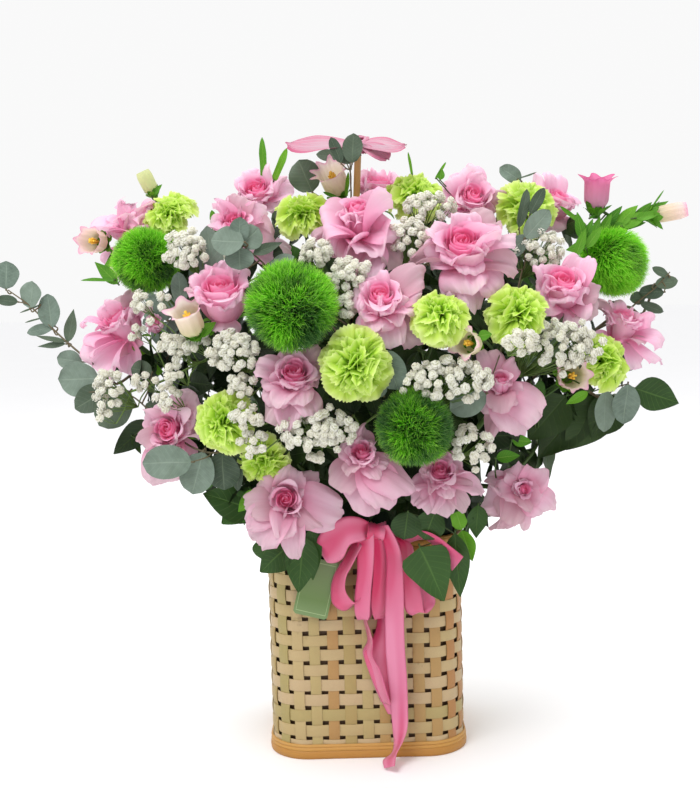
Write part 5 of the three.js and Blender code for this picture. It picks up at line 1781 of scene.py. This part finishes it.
# The second argument is each piece's tone: painted light and shade that makes some pieces deeper pink than
# others.
ribbon("bow_loop_1", 0.35, [
    (369, 522, 368, 538, 120, 0.0), (358, 517, 362, 541, 126, 0.0), (344, 517, 350, 545, 129, 0.2),
    (328, 525, 343, 558, 122, 0.0), (318, 538, 335, 563, 115, 0.0), (317, 549, 327, 562, 108, 0.2),
    (320, 540, 335, 558, 102, 0.0), (336, 523, 347, 547, 103, 0.0), (356, 521, 358, 540, 108, 0.0),
    (369, 523, 368, 538, 112, 0.0),
])
ribbon("bow_loop_2", 0.5, [
    (355, 537, 362, 546, 118, 0.8), (345, 555, 352, 566, 112, 0.9), (334, 575, 346, 577, 106, 0.9),
    (331, 590, 345, 590, 104, 0.9), (333, 604, 351, 600, 104, 0.7), (345, 611, 357, 602, 104, 0.7),
    (358, 600, 364, 590, 104, 0.7), (364, 575, 369, 566, 104, 0.7), (368, 548, 370, 540, 106, 0.7),
])
ribbon("bow_loop_3", 0.3, [
    (358, 534, 374, 534, 122, 0.3), (357, 552, 374, 552, 121, 0.3), (357, 572, 373, 572, 117, 0.5),
    (355, 592, 371, 592, 113, 0.5), (354.5, 606, 370, 607, 111, 0.5), (355.5, 615, 369.5, 616, 108, 0.5),
    (358, 620, 368, 620.5, 104, 0.5), (358.5, 615, 372, 615, 100, 0.3), (357, 605, 373, 605, 98, 0.3),
    (362, 575, 377, 572, 98, 0.3), (368, 545, 380, 542, 103, 0.3),
])
ribbon("bow_loop_4", 0.75, [
    (371, 534, 386, 532, 119, -0.3), (373, 556, 387, 556, 114, -0.4), (373, 580, 387, 580, 109, -0.5),
    (371, 600, 387, 600, 106, -0.5), (372, 612, 385.5, 610, 104, -0.5), (375, 620, 383, 618, 100, -0.5),
    (376, 612, 389, 610, 96, -0.3), (377, 600, 391, 600, 94, -0.2), (379, 575, 393, 573, 94, -0.2),
    (378, 545, 388, 543, 101, -0.2),
])
ribbon("bow_loop_5", 0.7, [
    (383, 530, 392, 531, 114, -0.6), (397, 541, 412, 545, 110, -0.5), (401, 560, 414, 566, 108, -0.6),
    (403, 585, 421, 592, 106, -0.3), (405, 609, 425, 613, 104, -0.2), (414, 614, 434, 606, 99, 0.0),
    (413, 590, 434, 595, 95, 0.0), (404, 560, 420, 562, 95, 0.0), (390, 538, 400, 540, 102, 0.0),
])
ribbon("bow_tail_long", 0.25, [
    (377, 527, 388, 525, 124, 0.5), (383, 541, 396, 540, 122, 0.5), (386, 560, 402, 558, 118, 0.4),
    (385.5, 590, 403.5, 588, 113, 0.4), (385, 620, 404, 620, 108, 0.4), (385.5, 650, 405, 650, 103, 0.4),
    (388, 680, 407, 680, 99, 0.4), (390.5, 706, 408, 706, 97, 0.4), (392.5, 727, 407.5, 727, 96.5, 0.5),
    (394, 743, 403, 741, 99, 0.7), (391.5, 753, 397.5, 752, 104, 0.75), (383, 760, 396, 758, 112, 0.6),
    (384, 768, 395, 766, 122, 0.5),
])
ribbon("bow_tail_short", 0.6, [
    (379, 600, 388, 602, 92, 0.3), (376, 628, 388, 630, 92, 0.3), (369, 646, 389, 650, 92, 0.3),
    (364, 655, 390, 668, 92.5, 0.2), (369, 672, 391, 680, 93, 0.2), (376, 689, 394, 694, 92.5, 0.2),
    (382, 702, 397, 706, 92, 0.2), (388, 714, 402, 716, 91.5, 0.2),
])
ribbon("bow_tail_thin", 0.15, [
    (361, 600, 368, 602, 92, 0.95), (363.5, 619, 366.5, 620, 93, 0.97), (366, 630, 370, 631, 94, 0.97),
    (367, 641, 373, 642, 94, 0.9), (362.5, 652, 373, 656, 94.5, 0.8), (367.5, 666, 380, 670, 95, 0.8),
    (374, 685, 386, 690, 95, 0.8), (381, 702, 391, 706, 95, 0.8),
])
ribbon("bow_tail_side", 0.3, [
    (400, 533, 404, 545, 108, -0.8), (415, 531, 418, 540, 117, -0.8), (427, 532, 427, 540, 124, -0.8),
    (438, 537, 435, 547, 126, -0.7), (449, 545, 444, 556, 126, -0.5), (463.5, 556.5, 452, 571, 124, -0.2),
])


def knot():
    """The gathered band that holds the loops."""
    angles = np.linspace(radians(-100), radians(235), 40)
    u = np.linspace(-1, 1, 13)
    pleats = 1.1 * MM * np.sin(5.5 * pi * u)[None, :] * (0.7 + 0.3 * np.sin(3 * angles))[:, None]
    pinch = 1 - 0.25 * (1 - np.abs(u))[None, :]
    radius_y = 10 * MM * pinch + pleats
    radius_z = 9 * MM * pinch + pleats
    x = 8.5 * MM * u[None, :] + 1.5 * MM * np.sin(angles)[:, None]
    points = np.stack([
        x + 0 * radius_y,
        -radius_y * np.cos(angles)[:, None],
        radius_z * np.sin(angles)[:, None],
    ], axis=-1) + KNOT
    surface = Surface()
    # The knot takes a deep tone: painted shade in its gathers.
    surface.grid(points, along=np.linspace(0, 0.06, 40)[:, None], across=u, tone=0.95)
    piece = finish_piece(surface.piece("bow_knot", [SATIN]), "ribbon_bow")


knot()

# ---------------------------------------------------------------- tag, orchid and what the frame keeps

def card_material():
    """Printed green card, left blank but for a thin pale border."""
    n = Nodes("tag_card")
    across, along, _ = n.leaf()[:3]
    fibre = n.noise(220.0, detail=4.0)
    cloud = n.noise(28.0, detail=2.0)
    base = n.ramp(along, [(0.0, (0.46, 0.56, 0.36)), (0.3, (0.37, 0.48, 0.23)), (1.0, (0.46, 0.52, 0.34))])
    base = n.tint(base, cloud, 0.4, (0.34, 0.44, 0.24))
    # The border lies where the way from the middle to an edge is 0.86 of that to the card's own edge.
    level = n.math("ABSOLUTE", n.math("SUBTRACT", n.times(along, 2.0), 1.0))
    outset = n.math("MAXIMUM", n.math("ABSOLUTE", across), level)
    border = n.math("COMPARE", outset, 0.86)
    border.node.inputs[2].default_value = 0.012
    base = n.tint(base, border, 0.5, (0.72, 0.80, 0.58))
    return n.finish(base, n.scaled(fibre, 0.15, 0.32), n.bump(fibre, 0.1, 0.0003))


def tag():
    """A plain green card with rounded corners and a slight bow."""
    width, height, half_thick, lean = 34 * MM, 58 * MM, 0.3 * MM, radians(14)
    centre = seen((316, 588), 90)
    v = np.linspace(-1, 1, 24)[:, None]
    u = np.linspace(-1, 1, 16)[None, :]
    corner = 2.5 * MM
    # Near its corners the outline is pulled in along a quarter circle.
    over = np.maximum(np.abs(v) * height / 2 - (height / 2 - corner), 0)
    half = width / 2 - (corner - np.sqrt(np.maximum(corner**2 - over**2, 0)))
    x = u * half
    z = v * height / 2 + 0 * u
    bow = 1.2 * MM * (1 - v**2) + 0.6 * MM * u
    local = np.stack([x * cos(lean) + z * sin(lean), -bow, z * cos(lean) - x * sin(lean)], axis=-1)
    rim = np.concatenate([local[:, 0], local[-1, 1:], local[-2::-1, -1], local[0, -2:0:-1]])
    surface = Surface()
    faces = [centre + [0, -half_thick, 0], centre + [0, half_thick, 0]]
    for face in faces:
        surface.grid(face + local, across=u, along=0.5 + 0.5 * v)
    surface.grid(np.stack([face + rim for face in faces]), closed=True)
    finish_piece(surface.piece("tag_blank", [card_material()]), "tag_card")


def orchid_material():
    """Pink petals with darker edges and pale veins. Tone marks the dark lip."""
    n = Nodes("orchid_petal")
    across, along, tone = n.leaf()[:3]
    base = n.ramp(along, [
        (0.0, (0.78, 0.54, 0.64)),
        (0.5, (0.76, 0.60, 0.66)),
        (1.0, (0.76, 0.44, 0.56)),
    ])
    edge = n.math("POWER", n.math("ABSOLUTE", across), 2.0)
    base = n.tint(base, edge, 0.85, (0.76, 0.32, 0.48))
    veins = n.math("SINE", n.times(across, 26.0))
    veins = n.math("POWER", n.math("MAXIMUM", veins, 0.0), 3.0)
    base = n.tint(base, veins, 0.45, (0.74, 0.72, 0.76))
    base = n.mix(tone, base, (0.55, 0.05, 0.28))
    return n.finish(base, 0.45, n.bump(veins, 0.3, 0.0006), through=0.25)


def orchid():
    """An orchid bloom that lies open on its stick and tips a little towards the viewer."""
    rng = random_for("orchid")
    centre = np.array(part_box("orchid_bloom")).mean(axis=0) + 1.5 * MM * UP
    axes = axes_for((0.0, -0.38, 0.925))
    surface = Surface()
    # Turn about the bloom's axis in degrees, length and half width in mm, slope at root, middle and tip.
    petals = [
        (179, 64, 27, (90, 94, 70)), (-8, 43, 25, (92, 100, 58)), (-70, 18, 10, (90, 104, 116)),
        (-34, 33, 17, (94, 112, 118)), (-122, 18, 10, (90, 98, 108)), (90, 20, 12, (86, 84, 84)),
    ]
    for turn, length, width, slope in petals:
        petal(surface, centre, axes, radians(turn), rng, MM, (2.0, 0.0), length, slope, width,
              cup=2.6 * width, flare=0.4, roll=0.10 * width, ruffle=0.06 * width, point=0.05 * length,
              sharp=0.1, tone=0.0, rows=16, columns=15)
    for turn, length, width in ((-90, 13, 7), (-55, 9, 4), (-125, 9, 4)):
        petal(surface, centre, axes, radians(turn), rng, MM, (1.0, 2.0), length, (50, 70, 20), width,
              cup=width, roll=0.0, ruffle=0.3, tone=0.9, rows=9)
    core(surface, centre + 3 * MM * axes[2], 3.2 * MM, tone=0.5)
    tube(surface, [centre - 10 * MM * UP, centre + 1 * MM * UP], 1.6 * MM, 1)
    piece = surface.piece("orchid_open", [orchid_material(), GREEN_STEM])
    finish_piece(piece, "orchid_bloom")


tag()
orchid()
LINER = plain_material("liner_film", (0.30, 0.20, 0.12), (0.42, 0.31, 0.19), 60.0, 0.5)
# Soaked foam's own dark green, darkened further as painted shade where it shows under the blooms and the bow.
SHADED_FOAM = plain_material("floral_foam", (0.09, 0.19, 0.10), (0.06, 0.14, 0.07), 240.0, 0.85, 0.8, 0.001)
for node, material in (
    ("basket_floor", BAMBOO),
    ("basket_liner", LINER),
    ("floral_foam", SHADED_FOAM),
    ("orchid_stick", STICK),
    ("bow_pick", STICK),
):
    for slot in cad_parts[node].material_slots:
        slot.material = material

# ---------------------------------------------------------------- studio

def make_studio():
    world = bpy.data.worlds.new("studio")
    world.use_nodes = True
    background = world.node_tree.nodes["Background"]
    background.inputs["Color"].default_value = (1.0, 1.0, 1.0, 1)
    background.inputs["Strength"].default_value = 0.95
    scene = bpy.context.scene
    scene.world = world
    scene.view_settings.view_transform = "Standard"
    floor_material = plain_material("studio_floor", (0.995, 0.995, 1.0), (0.985, 0.985, 0.99), 3.0, 0.8, 0.0)
    bpy.ops.mesh.primitive_plane_add(size=30, location=(0, 0, 0))
    floor = bpy.context.object
    floor.name = "studio_floor"
    floor.data.materials.append(floor_material)
    for name, place, size, power in (
        ("key", (-0.8, -1.2, 2.2), 1.0, 30),
        ("top", (0.3, 0.3, 2.4), 1.2, 18),
    ):
        data = bpy.data.lights.new(name, "AREA")
        data.size = size
        data.energy = power
        light = bpy.data.objects.new(name, data)
        light.location = place
        light.rotation_euler = (Vector((0, 0, 0.35)) - Vector(place)).to_track_quat("-Z", "Y").to_euler()
        scene.collection.objects.link(light)


make_studio()
